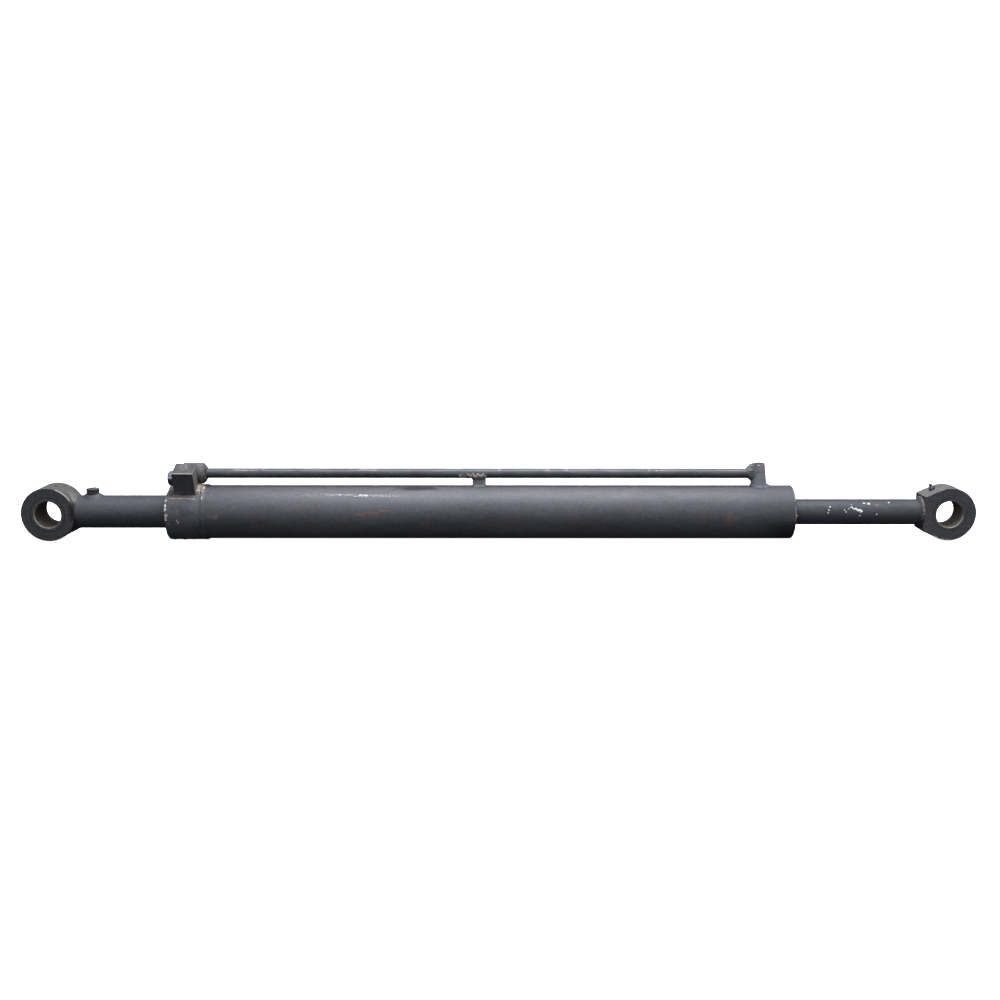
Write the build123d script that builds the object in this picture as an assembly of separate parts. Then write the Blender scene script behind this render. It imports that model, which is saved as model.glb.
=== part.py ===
from build123d import *
import math
import os

# Telescopic hydraulic cylinder with a rod at each end, shown closed.
# Origin: centre of the left pin bore. +X: along the cylinder to the right eye.
# +Y: along the pin bores. +Z: up, through the transfer pipe. Lengths in millimetres.

# ---- driving dimensions ------------------------------------------------------------
PIN_SPACING = 1220.0       # closed length, pin centre to pin centre
BARREL_OD = 73.0
BARREL_BORE = 63.0
BARREL_START = 211.0       # butt weld between the left head collar and the tube
BARREL_END = 1008.5
LEFT_ROD_D = 45.0
RIGHT_ROD_D = 35.0
PIN_BORE_D = 36.0
STROKE = 305.0             # of each rod

# running fits and seats
RUN_GAP = 0.05             # radial gap where one piece slides or turns in another
SEAT_GAP = 0.02            # radial gap between pieces fixed to each other
SIDE_GAP = 0.1             # end gap of a ring in its groove
OVERCUT = 5.0              # how far a cutting tool runs past the face it cuts

# left eye, bushing and oil port
LEFT_EYE_R = 36.5
LEFT_EYE_WIDTH = 48.0
LEFT_NECK_END = 36.5       # where the round rod begins
LEFT_NECK_HALF_WIDTH = 22.0
BUSHING_R = 23.0
EYE_EDGE = 1.2             # rounded rim of both eyes
BUSHING_CHAMFER = 0.8
GREASE_HOLE_R = 2.0
OIL_PORT_X = 55.2
OIL_PORT_R = 8.6
OIL_PORT_TOP = 32.4
OIL_PORT_THREAD_R = 4.3
OIL_PORT_FLOOR = 21.0      # bottom of the threaded hole
OIL_PORT_RELIEF_R = 4.8    # undercut below the thread
OIL_PORT_RELIEF_FLOOR = 18.5
OIL_CROSS_DRILL_R = 3.0
ROD_OIL_BORE_R = 5.0
ROD_OIL_BORE_START = 48.0

# right eye and grease nipple
RIGHT_EYE_R = 36.0
RIGHT_EYE_WIDTH = 38.0
RIGHT_EYE_FACE = 1185.5    # squared end, welded to the rod
RIGHT_EYE_FACE_HALF_HEIGHT = 24.0
ROD_SOCKET_DEPTH = 4.0     # how far the right rod is let into the eye
NIPPLE_FROM_PIN = 19.4     # along X, from the right pin centre back to the nipple
NIPPLE_THREAD_R = 2.9
NIPPLE_THREAD_DEPTH = 6.0

# left head collar, its milled flat and the port block on it
COLLAR_R = 37.9
COLLAR_START = 161.0
COLLAR_BORE_R = 30.5
COLLAR_THROAT_R = 28.5     # behind the gland, and through the spigot
COLLAR_THROAT_START = 201.0
SPIGOT_END = 217.0
BLOCK_TILT = 21.0          # degrees that the flat and the block lean towards -Y
FLAT_HEIGHT = 33.0         # from the cylinder's axis, in the leaning frame
FLAT_END = 206.0
BLOCK_START = 173.2
BLOCK_END = 201.8
BLOCK_HALF_DEPTH = 14.0
BLOCK_TOP = 68.0
BLOCK_EDGE = 0.8
PLUG_HEIGHT = 53.2         # plug and its port, above the cylinder's axis
PLUG_THREAD_R = 5.9
PLUG_PORT_DEPTH = 14.0
BLOCK_DRILL_R = 3.5
BLOCK_DRILL_X = 193.0

# transfer pipe and what holds it
PIPE_R = 6.75
PIPE_BORE_R = 4.0
PIPE_HEIGHT = 53.3
PIPE_START = 202.1
PIPE_END = 956.8
SOCKET_R = 14.2
SOCKET_START = 181.0
SOCKET_END = 209.0
STANDOFF_X = 582.4
STANDOFF_WIDTH = 18.4
STANDOFF_HALF_DEPTH = 6.5
STANDOFF_TOP = 49.5
BOSS_X = 962.5             # right port boss: its axis at BOSS_PIVOT_HEIGHT
BOSS_PIVOT_HEIGHT = 45.0
BOSS_LEAN = 7.0            # degrees that the boss leans towards -X
BOSS_R = 10.6
BOSS_TOP = 21.6            # above the pivot, along the leaning axis
BOSS_FOOT = -14.0
BOSS_BORE_R = 4.5
BOSS_BORE_TOP = 13.0

# glands, in order from the open end inwards
LEFT_GLAND_FACE = COLLAR_START + 2.0
RIGHT_GLAND_FACE = BARREL_END - 2.5
GLAND_LENGTH = 36.0
GLAND_BODY_LENGTH = 24.0   # full-diameter part; the nose beyond it is thinner
NOSE_RELIEF = 3.6
ROD_BORE_GAP = 0.5
WIPER_LENGTH = 6.0
WIPER_DEPTH = 4.0
SEAL_START = 8.0
SEAL_LENGTH = 7.0
SEAL_DEPTH = 4.5
GLAND_O_RING_START = 17.0
GUIDE_START = 21.5
GUIDE_LENGTH = 12.0
GUIDE_DEPTH = 2.2
O_RING_R = 1.5
SPANNER_SLOT_WIDTH = 5.0
SPANNER_SLOT_DEPTH = 2.5

# pistons, measured from the rod-side face towards the middle of the barrel
PISTON_LENGTH = 40.0
PISTON_R = 31.3
STROKE_SPARE = 6.0         # between a piston at full stroke and the stop it would meet
LEFT_PISTON_FACE = SPIGOT_END + STROKE_SPARE + STROKE
RIGHT_PISTON_FACE = RIGHT_GLAND_FACE - GLAND_LENGTH - STROKE_SPARE - STROKE
WEAR_RING_STARTS = (4.0, 28.0)
WEAR_RING_LENGTH = 8.0
WEAR_RING_DEPTH = 2.5
PISTON_SEAL_START = 15.0
PISTON_SEAL_LENGTH = 10.0
PISTON_SEAL_DEPTH = 5.0
BORE_O_RING_X = 18.0       # static ring between the rod's stub and the piston
BORE_GROOVE_DEPTH = 3.1
NUT_LENGTH = 15.0
LEFT_STUB_R = 15.0
RIGHT_STUB_R = 12.0
LEFT_NUT_FLATS = 46.0
RIGHT_NUT_FLATS = 36.0

BARREL_R = BARREL_OD / 2
BORE_R = BARREL_BORE / 2
LEFT_ROD_R = LEFT_ROD_D / 2
RIGHT_ROD_R = RIGHT_ROD_D / 2
PIN_R = PIN_BORE_D / 2
RING_R = BORE_R - RUN_GAP  # outside of the wear rings and piston seals


# ---- shared shapes -----------------------------------------------------------------
def x_cylinder(radius, start, end, y=0.0, z=0.0):
    """Solid round bar along X."""
    return Pos((start + end) / 2, y, z) * Rot(0, 90, 0) * Cylinder(radius, end - start)


def x_tube(outer, inner, start, end, y=0.0, z=0.0):
    """Hollow round bar along X."""
    bore = x_cylinder(inner, start - OVERCUT, end + OVERCUT, y, z)
    return x_cylinder(outer, start, end, y, z) - bore


def y_cylinder(radius, length, x=0.0, z=0.0):
    """Solid round bar along Y, centred on the cylinder's middle plane."""
    return Pos(x, 0, z) * Rot(90, 0, 0) * Cylinder(radius, length)


def z_cylinder(radius, low, high, x=0.0, y=0.0):
    """Solid round bar along Z."""
    return Pos(x, y, (low + high) / 2) * Cylinder(radius, high - low)


def turned(*outline):
    """Solid turned about X from (x, radius) corners."""
    return revolve(Plane.XZ * make_face(Polyline(*outline, close=True)), Axis.X)


def box_between(low, high):
    """Box from its lowest and highest corners."""
    size = [b - a for a, b in zip(low, high)]
    middle = [(a + b) / 2 for a, b in zip(low, high)]
    return Pos(*middle) * Box(*size)


def facing(x, direction):
    """Location at x whose own +X points along direction (+1 or -1) on the X axis."""
    return Pos(x, 0, 0) * Rot(0, 0, 0 if direction > 0 else 180)


def x_hexagon(flats, start, end):
    """Hexagonal bar along X."""
    section = Plane.YZ * RegularPolygon(flats / math.sqrt(3), 6)
    return Pos(start, 0, 0) * extrude(section, end - start)


def rounded_bar(radius, width, edge, x=0.0):
    """Disc along Y with rounded rims."""
    disc = y_cylinder(radius, width, x)
    return fillet(disc.edges().filter_by(GeomType.CIRCLE), edge)


def tangent_point(radius, x, z):
    """Where the upper tangent from (x, z) touches a circle about the origin, x away from 0."""
    side = 1 if x > 0 else -1
    bearing = math.atan2(z, abs(x))
    angle = bearing + math.acos(radius / math.hypot(x, z))
    return side * radius * math.cos(angle), radius * math.sin(angle)


# ---- left rod end ------------------------------------------------------------------
def left_eye():
    """Forged eye: a round ring whose neck runs down to the rod's diameter."""
    start_x, start_z = tangent_point(LEFT_EYE_R, LEFT_NECK_END, LEFT_ROD_R)
    at_ring = Plane((start_x, 0, 0), x_dir=(0, 1, 0), z_dir=(1, 0, 0))
    at_rod = Plane((LEFT_NECK_END, 0, 0), x_dir=(0, 1, 0), z_dir=(1, 0, 0))
    neck = loft([at_ring * Ellipse(LEFT_NECK_HALF_WIDTH, start_z), at_rod * Circle(LEFT_ROD_R)])
    ring = rounded_bar(LEFT_EYE_R, LEFT_EYE_WIDTH, EYE_EDGE)
    eye = ring + neck - y_cylinder(BUSHING_R, LEFT_EYE_WIDTH + OVERCUT)
    return eye - x_cylinder(GREASE_HOLE_R, -LEFT_EYE_R - OVERCUT, 0)


def eye_bushing(width, x):
    """Plain steel bushing pressed into an eye, chamfered at both mouths."""
    bush = y_cylinder(BUSHING_R - SEAT_GAP, width, x) - y_cylinder(PIN_R, width + OVERCUT, x)
    inner_rims = bush.edges().filter_by(GeomType.CIRCLE).group_by(SortBy.RADIUS)[0]
    return chamfer(inner_rims, BUSHING_CHAMFER)


def left_eye_bushing():
    grease_way = x_cylinder(GREASE_HOLE_R, -LEFT_EYE_R, 0)
    return eye_bushing(LEFT_EYE_WIDTH, 0) - grease_way


def left_oil_port_boss():
    """Round boss on top of the rod's neck, with a tapped hole."""
    boss = z_cylinder(OIL_PORT_R, 0, OIL_PORT_TOP, OIL_PORT_X)
    boss = chamfer(boss.edges().filter_by(GeomType.CIRCLE).group_by(Axis.Z)[-1], 0.6)
    tapped = z_cylinder(OIL_PORT_THREAD_R, OIL_PORT_FLOOR, OIL_PORT_TOP + OVERCUT, OIL_PORT_X)
    return boss - tapped - x_cylinder(LEFT_ROD_R, 0, 2 * OIL_PORT_X)


def left_port_weld():
    """Cone of weld between the boss and the rod."""
    foot_r = OIL_PORT_R + 7.5
    low = LEFT_ROD_R - 10.0
    high = LEFT_ROD_R + 4.6
    middle = (low + high) / 2
    cone = Pos(OIL_PORT_X, 0, middle) * Cone(foot_r + 4.0, OIL_PORT_R + 0.6, high - low)
    around = cone - z_cylinder(OIL_PORT_R, low - OVERCUT, high + OVERCUT, OIL_PORT_X)
    return around - x_cylinder(LEFT_ROD_R, 0, 2 * OIL_PORT_X)


def left_rod():
    """Hollow rod: oil passes from the side port to the middle of the barrel."""
    stub_end = LEFT_PISTON_FACE + PISTON_LENGTH + NUT_LENGTH
    rod = turned(
        (LEFT_NECK_END, 0),
        (LEFT_NECK_END, LEFT_ROD_R),
        (LEFT_PISTON_FACE - 1.0, LEFT_ROD_R),
        (LEFT_PISTON_FACE, LEFT_ROD_R - 1.0),
        (LEFT_PISTON_FACE, LEFT_STUB_R),
        (stub_end - 1.5, LEFT_STUB_R),
        (stub_end, LEFT_STUB_R - 1.5),
        (stub_end, 0),
    )
    rod -= x_cylinder(ROD_OIL_BORE_R, ROD_OIL_BORE_START, stub_end + OVERCUT)
    rod -= z_cylinder(OIL_PORT_THREAD_R, OIL_PORT_FLOOR, LEFT_ROD_R + OVERCUT, OIL_PORT_X)
    rod -= z_cylinder(OIL_PORT_RELIEF_R, OIL_PORT_RELIEF_FLOOR, OIL_PORT_FLOOR, OIL_PORT_X)
    return rod - z_cylinder(OIL_CROSS_DRILL_R, 0, LEFT_ROD_R + OVERCUT, OIL_PORT_X)


# ---- right rod end -----------------------------------------------------------------
RIGHT_END_X = RIGHT_EYE_FACE - PIN_SPACING      # squared face, seen from the right pin centre


def right_eye():
    """Flame-cut eye: round about the pin, with tangent flats down to a squared end."""
    flat_x, flat_z = tangent_point(RIGHT_EYE_R, RIGHT_END_X, RIGHT_EYE_FACE_HALF_HEIGHT)
    upper = [(RIGHT_END_X, RIGHT_EYE_FACE_HALF_HEIGHT), (flat_x, flat_z)]
    lower = [(x, -z) for x, z in reversed(upper)]
    section = Circle(RIGHT_EYE_R) + make_face(Polyline(*upper, *lower, close=True))
    beyond_face = Pos(RIGHT_END_X - OVERCUT, 0) * Rectangle(2 * OVERCUT, 3 * RIGHT_EYE_R)
    plate = extrude(Plane.XZ * (section - beyond_face), RIGHT_EYE_WIDTH / 2, both=True)
    faces_rim = plate.edges().group_by(Axis.Y)
    plate = chamfer(faces_rim[0] + faces_rim[-1], EYE_EDGE / 2)
    plate = Pos(PIN_SPACING, 0, 0) * plate
    plate -= y_cylinder(BUSHING_R, RIGHT_EYE_WIDTH + OVERCUT, PIN_SPACING)
    plate -= x_cylinder(RIGHT_ROD_R, RIGHT_EYE_FACE - OVERCUT, RIGHT_EYE_FACE + ROD_SOCKET_DEPTH)
    tapping = Pos(0, 0, -12.0) * Cylinder(NIPPLE_THREAD_R + SEAT_GAP, 24.0 + OVERCUT)
    return plate - nipple_place() * tapping


def nipple_place():
    """Location on the eye's upper flat with its own +Z pointing out of the flat."""
    flat_x, flat_z = tangent_point(RIGHT_EYE_R, RIGHT_END_X, RIGHT_EYE_FACE_HALF_HEIGHT)
    slope = (flat_z - RIGHT_EYE_FACE_HALF_HEIGHT) / (flat_x - RIGHT_END_X)
    height = flat_z + slope * (-NIPPLE_FROM_PIN - flat_x)
    lean = -math.degrees(math.atan(slope))
    return Pos(PIN_SPACING - NIPPLE_FROM_PIN, 0, height) * Rot(0, lean, 0)


def right_eye_bushing():
    bush = eye_bushing(RIGHT_EYE_WIDTH, PIN_SPACING)
    return bush - nipple_place() * Pos(0, 0, -12.0) * Cylinder(GREASE_HOLE_R, 24.0)


def grease_nipple():
    """Straight nipple: tapped stem, hexagon, waist and round head, drilled through."""
    stem = z_cylinder(NIPPLE_THREAD_R, -NIPPLE_THREAD_DEPTH, 0.2)
    hexagon = extrude(RegularPolygon(4.1, 6), 3.2)
    waist = z_cylinder(1.6, 3.0, 6.5)
    collar = Pos(0, 0, 4.0) * Cone(2.9, 1.6, 1.8)
    head = Pos(0, 0, 7.2) * Sphere(2.3)
    body = stem + hexagon + waist + collar + head - z_cylinder(0.8, -NIPPLE_THREAD_DEPTH - 1, 12)
    trimmed = body - box_between((-5, -5, 8.9), (5, 5, 12))
    return nipple_place() * trimmed


def right_eye_weld():
    """Fillet weld where the rod enters the eye's squared end."""
    return turned(
        (RIGHT_EYE_FACE, RIGHT_ROD_R + SEAT_GAP),
        (RIGHT_EYE_FACE, RIGHT_ROD_R + 4.2),
        (RIGHT_EYE_FACE - 2.4, RIGHT_ROD_R + 2.9),
        (RIGHT_EYE_FACE - 4.6, RIGHT_ROD_R + SEAT_GAP),
    )


def right_rod():
    """Solid rod with a turned-down stub for the piston."""
    stub_end = RIGHT_PISTON_FACE - PISTON_LENGTH - NUT_LENGTH
    return turned(
        (RIGHT_EYE_FACE + ROD_SOCKET_DEPTH, 0),
        (RIGHT_EYE_FACE + ROD_SOCKET_DEPTH, RIGHT_ROD_R),
        (RIGHT_PISTON_FACE + 1.0, RIGHT_ROD_R),
        (RIGHT_PISTON_FACE, RIGHT_ROD_R - 1.0),
        (RIGHT_PISTON_FACE, RIGHT_STUB_R),
        (stub_end + 1.5, RIGHT_STUB_R),
        (stub_end, RIGHT_STUB_R - 1.5),
        (stub_end, 0),
    )


# ---- pistons, drawn from the rod-side face at x = 0 towards the middle ---------------
def piston(stub_r):
    body = x_tube(PISTON_R, stub_r + SEAT_GAP, 0, PISTON_LENGTH)
    body = chamfer(body.edges().filter_by(GeomType.CIRCLE).group_by(SortBy.RADIUS)[-1], 1.0)
    for start in WEAR_RING_STARTS:
        floor = PISTON_R - WEAR_RING_DEPTH
        body -= x_tube(PISTON_R + 1, floor, start, start + WEAR_RING_LENGTH)
    floor = PISTON_R - PISTON_SEAL_DEPTH
    body -= x_tube(PISTON_R + 1, floor, PISTON_SEAL_START, PISTON_SEAL_START + PISTON_SEAL_LENGTH)
    groove_start = BORE_O_RING_X - O_RING_R - SIDE_GAP
    groove_end = BORE_O_RING_X + O_RING_R + SIDE_GAP
    return body - x_cylinder(stub_r + BORE_GROOVE_DEPTH, groove_start, groove_end)


def wear_rings():
    """Two guide rings, split at an angle as they are for fitting."""
    rings = []
    for start in WEAR_RING_STARTS:
        inner = PISTON_R - WEAR_RING_DEPTH + RUN_GAP
        ring = x_tube(RING_R, inner, start + SIDE_GAP, start + WEAR_RING_LENGTH - SIDE_GAP)
        gap = Pos(start + WEAR_RING_LENGTH / 2, 0, -PISTON_R) * Rot(0, 0, 30) * Box(1.5, 30, 12)
        rings.append(ring - gap)
    return Compound(children=rings)


def piston_seal():
    """Slipper seal with a shallow waist on its sliding face."""
    inner = PISTON_R - PISTON_SEAL_DEPTH + RUN_GAP
    start = PISTON_SEAL_START + SIDE_GAP
    end = PISTON_SEAL_START + PISTON_SEAL_LENGTH - SIDE_GAP
    middle = (start + end) / 2
    return turned(
        (start, inner),
        (start, RING_R - 0.6),
        (start + 0.6, RING_R),
        (middle - 1.2, RING_R),
        (middle, RING_R - 1.0),
        (middle + 1.2, RING_R),
        (end - 0.6, RING_R),
        (end, RING_R - 0.6),
        (end, inner),
    )


def o_ring(middle_r, x):
    return Pos(x, 0, 0) * Rot(0, 90, 0) * Torus(middle_r, O_RING_R)


def bore_o_ring(stub_r):
    return o_ring(stub_r + O_RING_R + RUN_GAP, BORE_O_RING_X)


def piston_nut(stub_r, flats):
    """Hexagon nut with a turned chamfer on its outer corners."""
    start = PISTON_LENGTH
    end = PISTON_LENGTH + NUT_LENGTH
    corner = flats / math.sqrt(3)
    edge = flats / 2 - 0.4
    blank = turned((start, 0), (start, corner), (end - 2.0, corner), (end, edge), (end, 0))
    return (blank & x_hexagon(flats, start, end)) - x_cylinder(stub_r + SEAT_GAP, 0, end + OVERCUT)


# ---- glands, drawn from the open face at x = 0 inwards --------------------------------
def gland(body_r, rod_r):
    """Threaded gland: wiper and seal grooves, guide groove, static ring groove, spanner slots."""
    nose_r = body_r - NOSE_RELIEF
    shell = turned(
        (0, rod_r + ROD_BORE_GAP),
        (0, body_r - 0.8),
        (0.8, body_r),
        (GLAND_BODY_LENGTH, body_r),
        (GLAND_BODY_LENGTH, nose_r),
        (GLAND_LENGTH - 0.8, nose_r),
        (GLAND_LENGTH, nose_r - 0.8),
        (GLAND_LENGTH, rod_r + ROD_BORE_GAP),
    )
    shell -= x_cylinder(rod_r + WIPER_DEPTH, -OVERCUT, WIPER_LENGTH)
    shell -= x_cylinder(rod_r + SEAL_DEPTH, SEAL_START, SEAL_START + SEAL_LENGTH)
    shell -= x_cylinder(rod_r + GUIDE_DEPTH, GUIDE_START, GUIDE_START + GUIDE_LENGTH)
    groove_floor = body_r - 2 * O_RING_R
    groove_end = GLAND_O_RING_START + 2 * O_RING_R + 1.0
    shell -= x_tube(body_r + 1, groove_floor, GLAND_O_RING_START, groove_end)
    slot = Box(2 * SPANNER_SLOT_DEPTH, SPANNER_SLOT_WIDTH, 2 * body_r + OVERCUT)
    return shell - slot


def gland_o_ring(body_r):
    middle_x = GLAND_O_RING_START + O_RING_R + 0.5
    return o_ring(body_r - O_RING_R + SEAT_GAP / 2, middle_x)


def rod_wiper(rod_r):
    """Wiper ring with a lip that stands proud of the gland's face."""
    inner = rod_r + RUN_GAP
    outer = rod_r + WIPER_DEPTH - SEAT_GAP
    return turned(
        (-1.2, inner),
        (-1.2, inner + 0.9),
        (0.8, outer - 1.2),
        (0.8, outer),
        (WIPER_LENGTH - SIDE_GAP, outer),
        (WIPER_LENGTH - SIDE_GAP, inner),
    )


def rod_seal(rod_r):
    """U-cup whose mouth faces the oil."""
    inner = rod_r + RUN_GAP
    outer = rod_r + SEAL_DEPTH - SEAT_GAP
    start = SEAL_START + SIDE_GAP
    end = SEAL_START + SEAL_LENGTH - SIDE_GAP
    middle = (inner + outer) / 2
    return turned(
        (start, inner),
        (end, inner),
        (end, inner + 1.0),
        (end - 3.0, middle),
        (end, outer - 1.0),
        (end, outer),
        (start, outer),
    )


def rod_guide(rod_r):
    outer = rod_r + GUIDE_DEPTH - SEAT_GAP
    start = GUIDE_START + SIDE_GAP
    return x_tube(outer, rod_r + RUN_GAP, start, GUIDE_START + GUIDE_LENGTH - SIDE_GAP)


# ---- barrel, collar and port block ----------------------------------------------------
HEAD = Rot(BLOCK_TILT, 0, 0)                      # leaning frame of the flat and the block


def boss_place():
    """Leaning frame of the right port boss: its own +Z runs up the boss."""
    return Pos(BOSS_X, 0, BOSS_PIVOT_HEIGHT) * Rot(0, -BOSS_LEAN, 0)


def barrel_tube():
    tube = turned(
        (BARREL_START, BORE_R),
        (BARREL_START, BARREL_R - 2.0),
        (BARREL_START + 2.0, BARREL_R),
        (BARREL_END - 1.0, BARREL_R),
        (BARREL_END, BARREL_R - 1.0),
        (BARREL_END, BORE_R + 1.0),
        (BARREL_END - 1.0, BORE_R),
    )
    return tube - boss_place() * z_cylinder(BOSS_BORE_R, -25.0, 0)


def left_head_collar():
    """Head ring with a spigot inside the tube and a milled flat for the port block."""
    ring = turned(
        (COLLAR_START, COLLAR_BORE_R),
        (COLLAR_START, COLLAR_R - 1.0),
        (COLLAR_START + 1.0, COLLAR_R),
        (BARREL_START - 3.4, COLLAR_R),
        (BARREL_START, BARREL_R - 2.0),
        (BARREL_START, BORE_R - SEAT_GAP),
        (SPIGOT_END, BORE_R - SEAT_GAP),
        (SPIGOT_END, COLLAR_THROAT_R),
        (COLLAR_THROAT_START, COLLAR_THROAT_R),
        (COLLAR_THROAT_START, COLLAR_BORE_R),
    )
    low = (COLLAR_START - OVERCUT, -COLLAR_R, FLAT_HEIGHT)
    high = (FLAT_END, COLLAR_R, COLLAR_R + OVERCUT)
    ring -= HEAD * box_between(low, high)
    return ring - HEAD * z_cylinder(BLOCK_DRILL_R, 0, FLAT_HEIGHT + OVERCUT, BLOCK_DRILL_X)


def block_body():
    low = (BLOCK_START, -BLOCK_HALF_DEPTH, FLAT_HEIGHT)
    high = (BLOCK_END, BLOCK_HALF_DEPTH, BLOCK_TOP)
    body = box_between(low, high)
    worn_edges = body.edges() - body.edges().group_by(Axis.Z)[0]
    return HEAD * fillet(worn_edges, BLOCK_EDGE)


def socket_drill():
    """Cross-drilling that joins the block's gallery to the pipe socket."""
    start = Vector(BLOCK_DRILL_X, 0, 0) + HEAD_UP * PLUG_HEIGHT
    end = Vector(BLOCK_DRILL_X, 0, PIPE_HEIGHT)
    way = end - start
    place = Plane(origin=start, z_dir=way)
    return place * Pos(0, 0, way.length / 2) * Cylinder(BLOCK_DRILL_R, way.length)


HEAD_UP = Vector(0, -math.sin(math.radians(BLOCK_TILT)), math.cos(math.radians(BLOCK_TILT)))


def port_block():
    """Manifold block: a plugged side port, a gallery down to the barrel, one back to the pipe."""
    port_end = BLOCK_START + PLUG_PORT_DEPTH
    port = x_cylinder(PLUG_THREAD_R + SEAT_GAP, BLOCK_START - OVERCUT, port_end, z=PLUG_HEIGHT)
    gallery = x_cylinder(BLOCK_DRILL_R, port_end - 1, BLOCK_DRILL_X + BLOCK_DRILL_R, z=PLUG_HEIGHT)
    down = z_cylinder(BLOCK_DRILL_R, FLAT_HEIGHT - OVERCUT, PLUG_HEIGHT, BLOCK_DRILL_X)
    return block_body() - HEAD * (port + gallery + down) - socket_drill()


def port_plug_washer():
    return HEAD * x_tube(9.0, PLUG_THREAD_R + 0.3, BLOCK_START - 1.5, BLOCK_START, z=PLUG_HEIGHT)


def port_plug():
    """Hexagon-headed plug in the block's side port."""
    seat = BLOCK_START - 1.5
    head_end = seat - 6.6
    shank = x_cylinder(PLUG_THREAD_R, seat, seat + 11.0)
    crown = turned((seat, 0), (seat, 9.9), (head_end + 1.3, 9.9), (head_end, 8.0), (head_end, 0))
    head = crown & x_hexagon(17.0, head_end, seat)
    recess = x_hexagon(6.0, head_end - 1, head_end + 3.5)
    return HEAD * Pos(0, 0, PLUG_HEIGHT) * (shank + head - recess)


def pipe_socket():
    """Round socket on the back of the block that takes the transfer pipe."""
    body = x_cylinder(SOCKET_R, SOCKET_START, SOCKET_END, z=PIPE_HEIGHT)
    body = chamfer(body.edges().filter_by(GeomType.CIRCLE), 0.8)
    body -= x_cylinder(PIPE_R + SEAT_GAP, PIPE_START, SOCKET_END + OVERCUT, z=PIPE_HEIGHT)
    body -= x_cylinder(PIPE_BORE_R, BLOCK_DRILL_X - PIPE_BORE_R, PIPE_START + 1, z=PIPE_HEIGHT)
    low = (BLOCK_START, -BLOCK_HALF_DEPTH, FLAT_HEIGHT)
    high = (BLOCK_END, BLOCK_HALF_DEPTH + SEAT_GAP, BLOCK_TOP + OVERCUT)
    return body - HEAD * box_between(low, high) - socket_drill()


def transfer_pipe():
    return x_tube(PIPE_R, PIPE_BORE_R, PIPE_START, PIPE_END, z=PIPE_HEIGHT)


def pipe_standoff():
    """Small block under the pipe, shaped to the tube and to the pipe."""
    low = (STANDOFF_X - STANDOFF_WIDTH / 2, -STANDOFF_HALF_DEPTH, BARREL_R - 6.0)
    high = (STANDOFF_X + STANDOFF_WIDTH / 2, STANDOFF_HALF_DEPTH, STANDOFF_TOP)
    body = box_between(low, high) - x_cylinder(BARREL_R, BARREL_START, BARREL_END)
    return body - x_cylinder(PIPE_R, PIPE_START, PIPE_END, z=PIPE_HEIGHT)


def right_port_boss():
    """Stub that carries oil from the pipe down into the barrel; its top is welded shut."""
    body = z_cylinder(BOSS_R, BOSS_FOOT, BOSS_TOP)
    body = chamfer(body.edges().filter_by(GeomType.CIRCLE).group_by(Axis.Z)[-1], 0.8)
    body -= z_cylinder(BOSS_BORE_R, BOSS_FOOT - OVERCUT, BOSS_BORE_TOP)
    body = boss_place() * body - x_cylinder(BARREL_R, BARREL_START, BARREL_END)
    return body - x_cylinder(PIPE_R + SEAT_GAP, PIPE_END - 30, PIPE_END, z=PIPE_HEIGHT)


# ---- welds ------------------------------------------------------------------------------
def collar_seam_weld():
    """Bead all round the joint of collar and tube."""
    return turned(
        (BARREL_START, BARREL_R - 2.0),
        (BARREL_START - 3.4, COLLAR_R),
        (BARREL_START - 2.4, COLLAR_R + 0.5),
        (BARREL_START, COLLAR_R + 0.8),
        (BARREL_START + 2.4, COLLAR_R + 0.2),
        (BARREL_START + 4.2, BARREL_R),
        (BARREL_START + 2.0, BARREL_R),
    )


def block_weld():
    """Fillet round the foot of the block, on the collar's flat."""
    leg = 4.0
    low = (BLOCK_START - leg, -BLOCK_HALF_DEPTH - leg, FLAT_HEIGHT)
    high = (min(BLOCK_END + leg, FLAT_END), BLOCK_HALF_DEPTH + leg, FLAT_HEIGHT + leg)
    skirt = box_between(low, high)
    skirt = chamfer(skirt.edges().group_by(Axis.Z)[-1], leg - 1.4)
    core = (BLOCK_START, -BLOCK_HALF_DEPTH, FLAT_HEIGHT - 1)
    skirt -= box_between(core, (BLOCK_END, BLOCK_HALF_DEPTH, BLOCK_TOP))
    return HEAD * skirt - pipe_socket()


def cone_weld(base_r, tip_r, inner_r, base_x, tip_x):
    """Cone of weld round the pipe, from its wide end to its narrow end."""
    low, high = sorted((base_x, tip_x))
    low_r, high_r = (base_r, tip_r) if base_x < tip_x else (tip_r, base_r)
    cone = turned((low, 0), (low, low_r), (high, high_r), (high, 0))
    cone -= x_cylinder(inner_r, low - OVERCUT, high + OVERCUT)
    return Pos(0, 0, PIPE_HEIGHT) * cone


def socket_pipe_weld():
    start = SOCKET_END
    return cone_weld(SOCKET_R - 1.4, PIPE_R + 1.0, PIPE_R, start, start + 4.8)


def boss_pipe_weld():
    """Fat cone of weld where the pipe runs into the boss."""
    cone = cone_weld(BOSS_R + 1.4, PIPE_R + 0.8, PIPE_R, BOSS_X - 3.0, BOSS_X - 18.6)
    solid_boss = boss_place() * z_cylinder(BOSS_R, BOSS_FOOT, BOSS_TOP + OVERCUT)
    return cone - solid_boss


def boss_foot_weld():
    """Fillet between the boss and the tube."""
    low = -14.0
    high = -4.4
    cone = Pos(0, 0, (low + high) / 2) * Cone(BOSS_R + 6.4, BOSS_R + 0.5, high - low)
    around = cone - z_cylinder(BOSS_R, BOSS_FOOT - OVERCUT, BOSS_TOP)
    return boss_place() * around - x_cylinder(BARREL_R, BARREL_START, BARREL_END)


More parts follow.
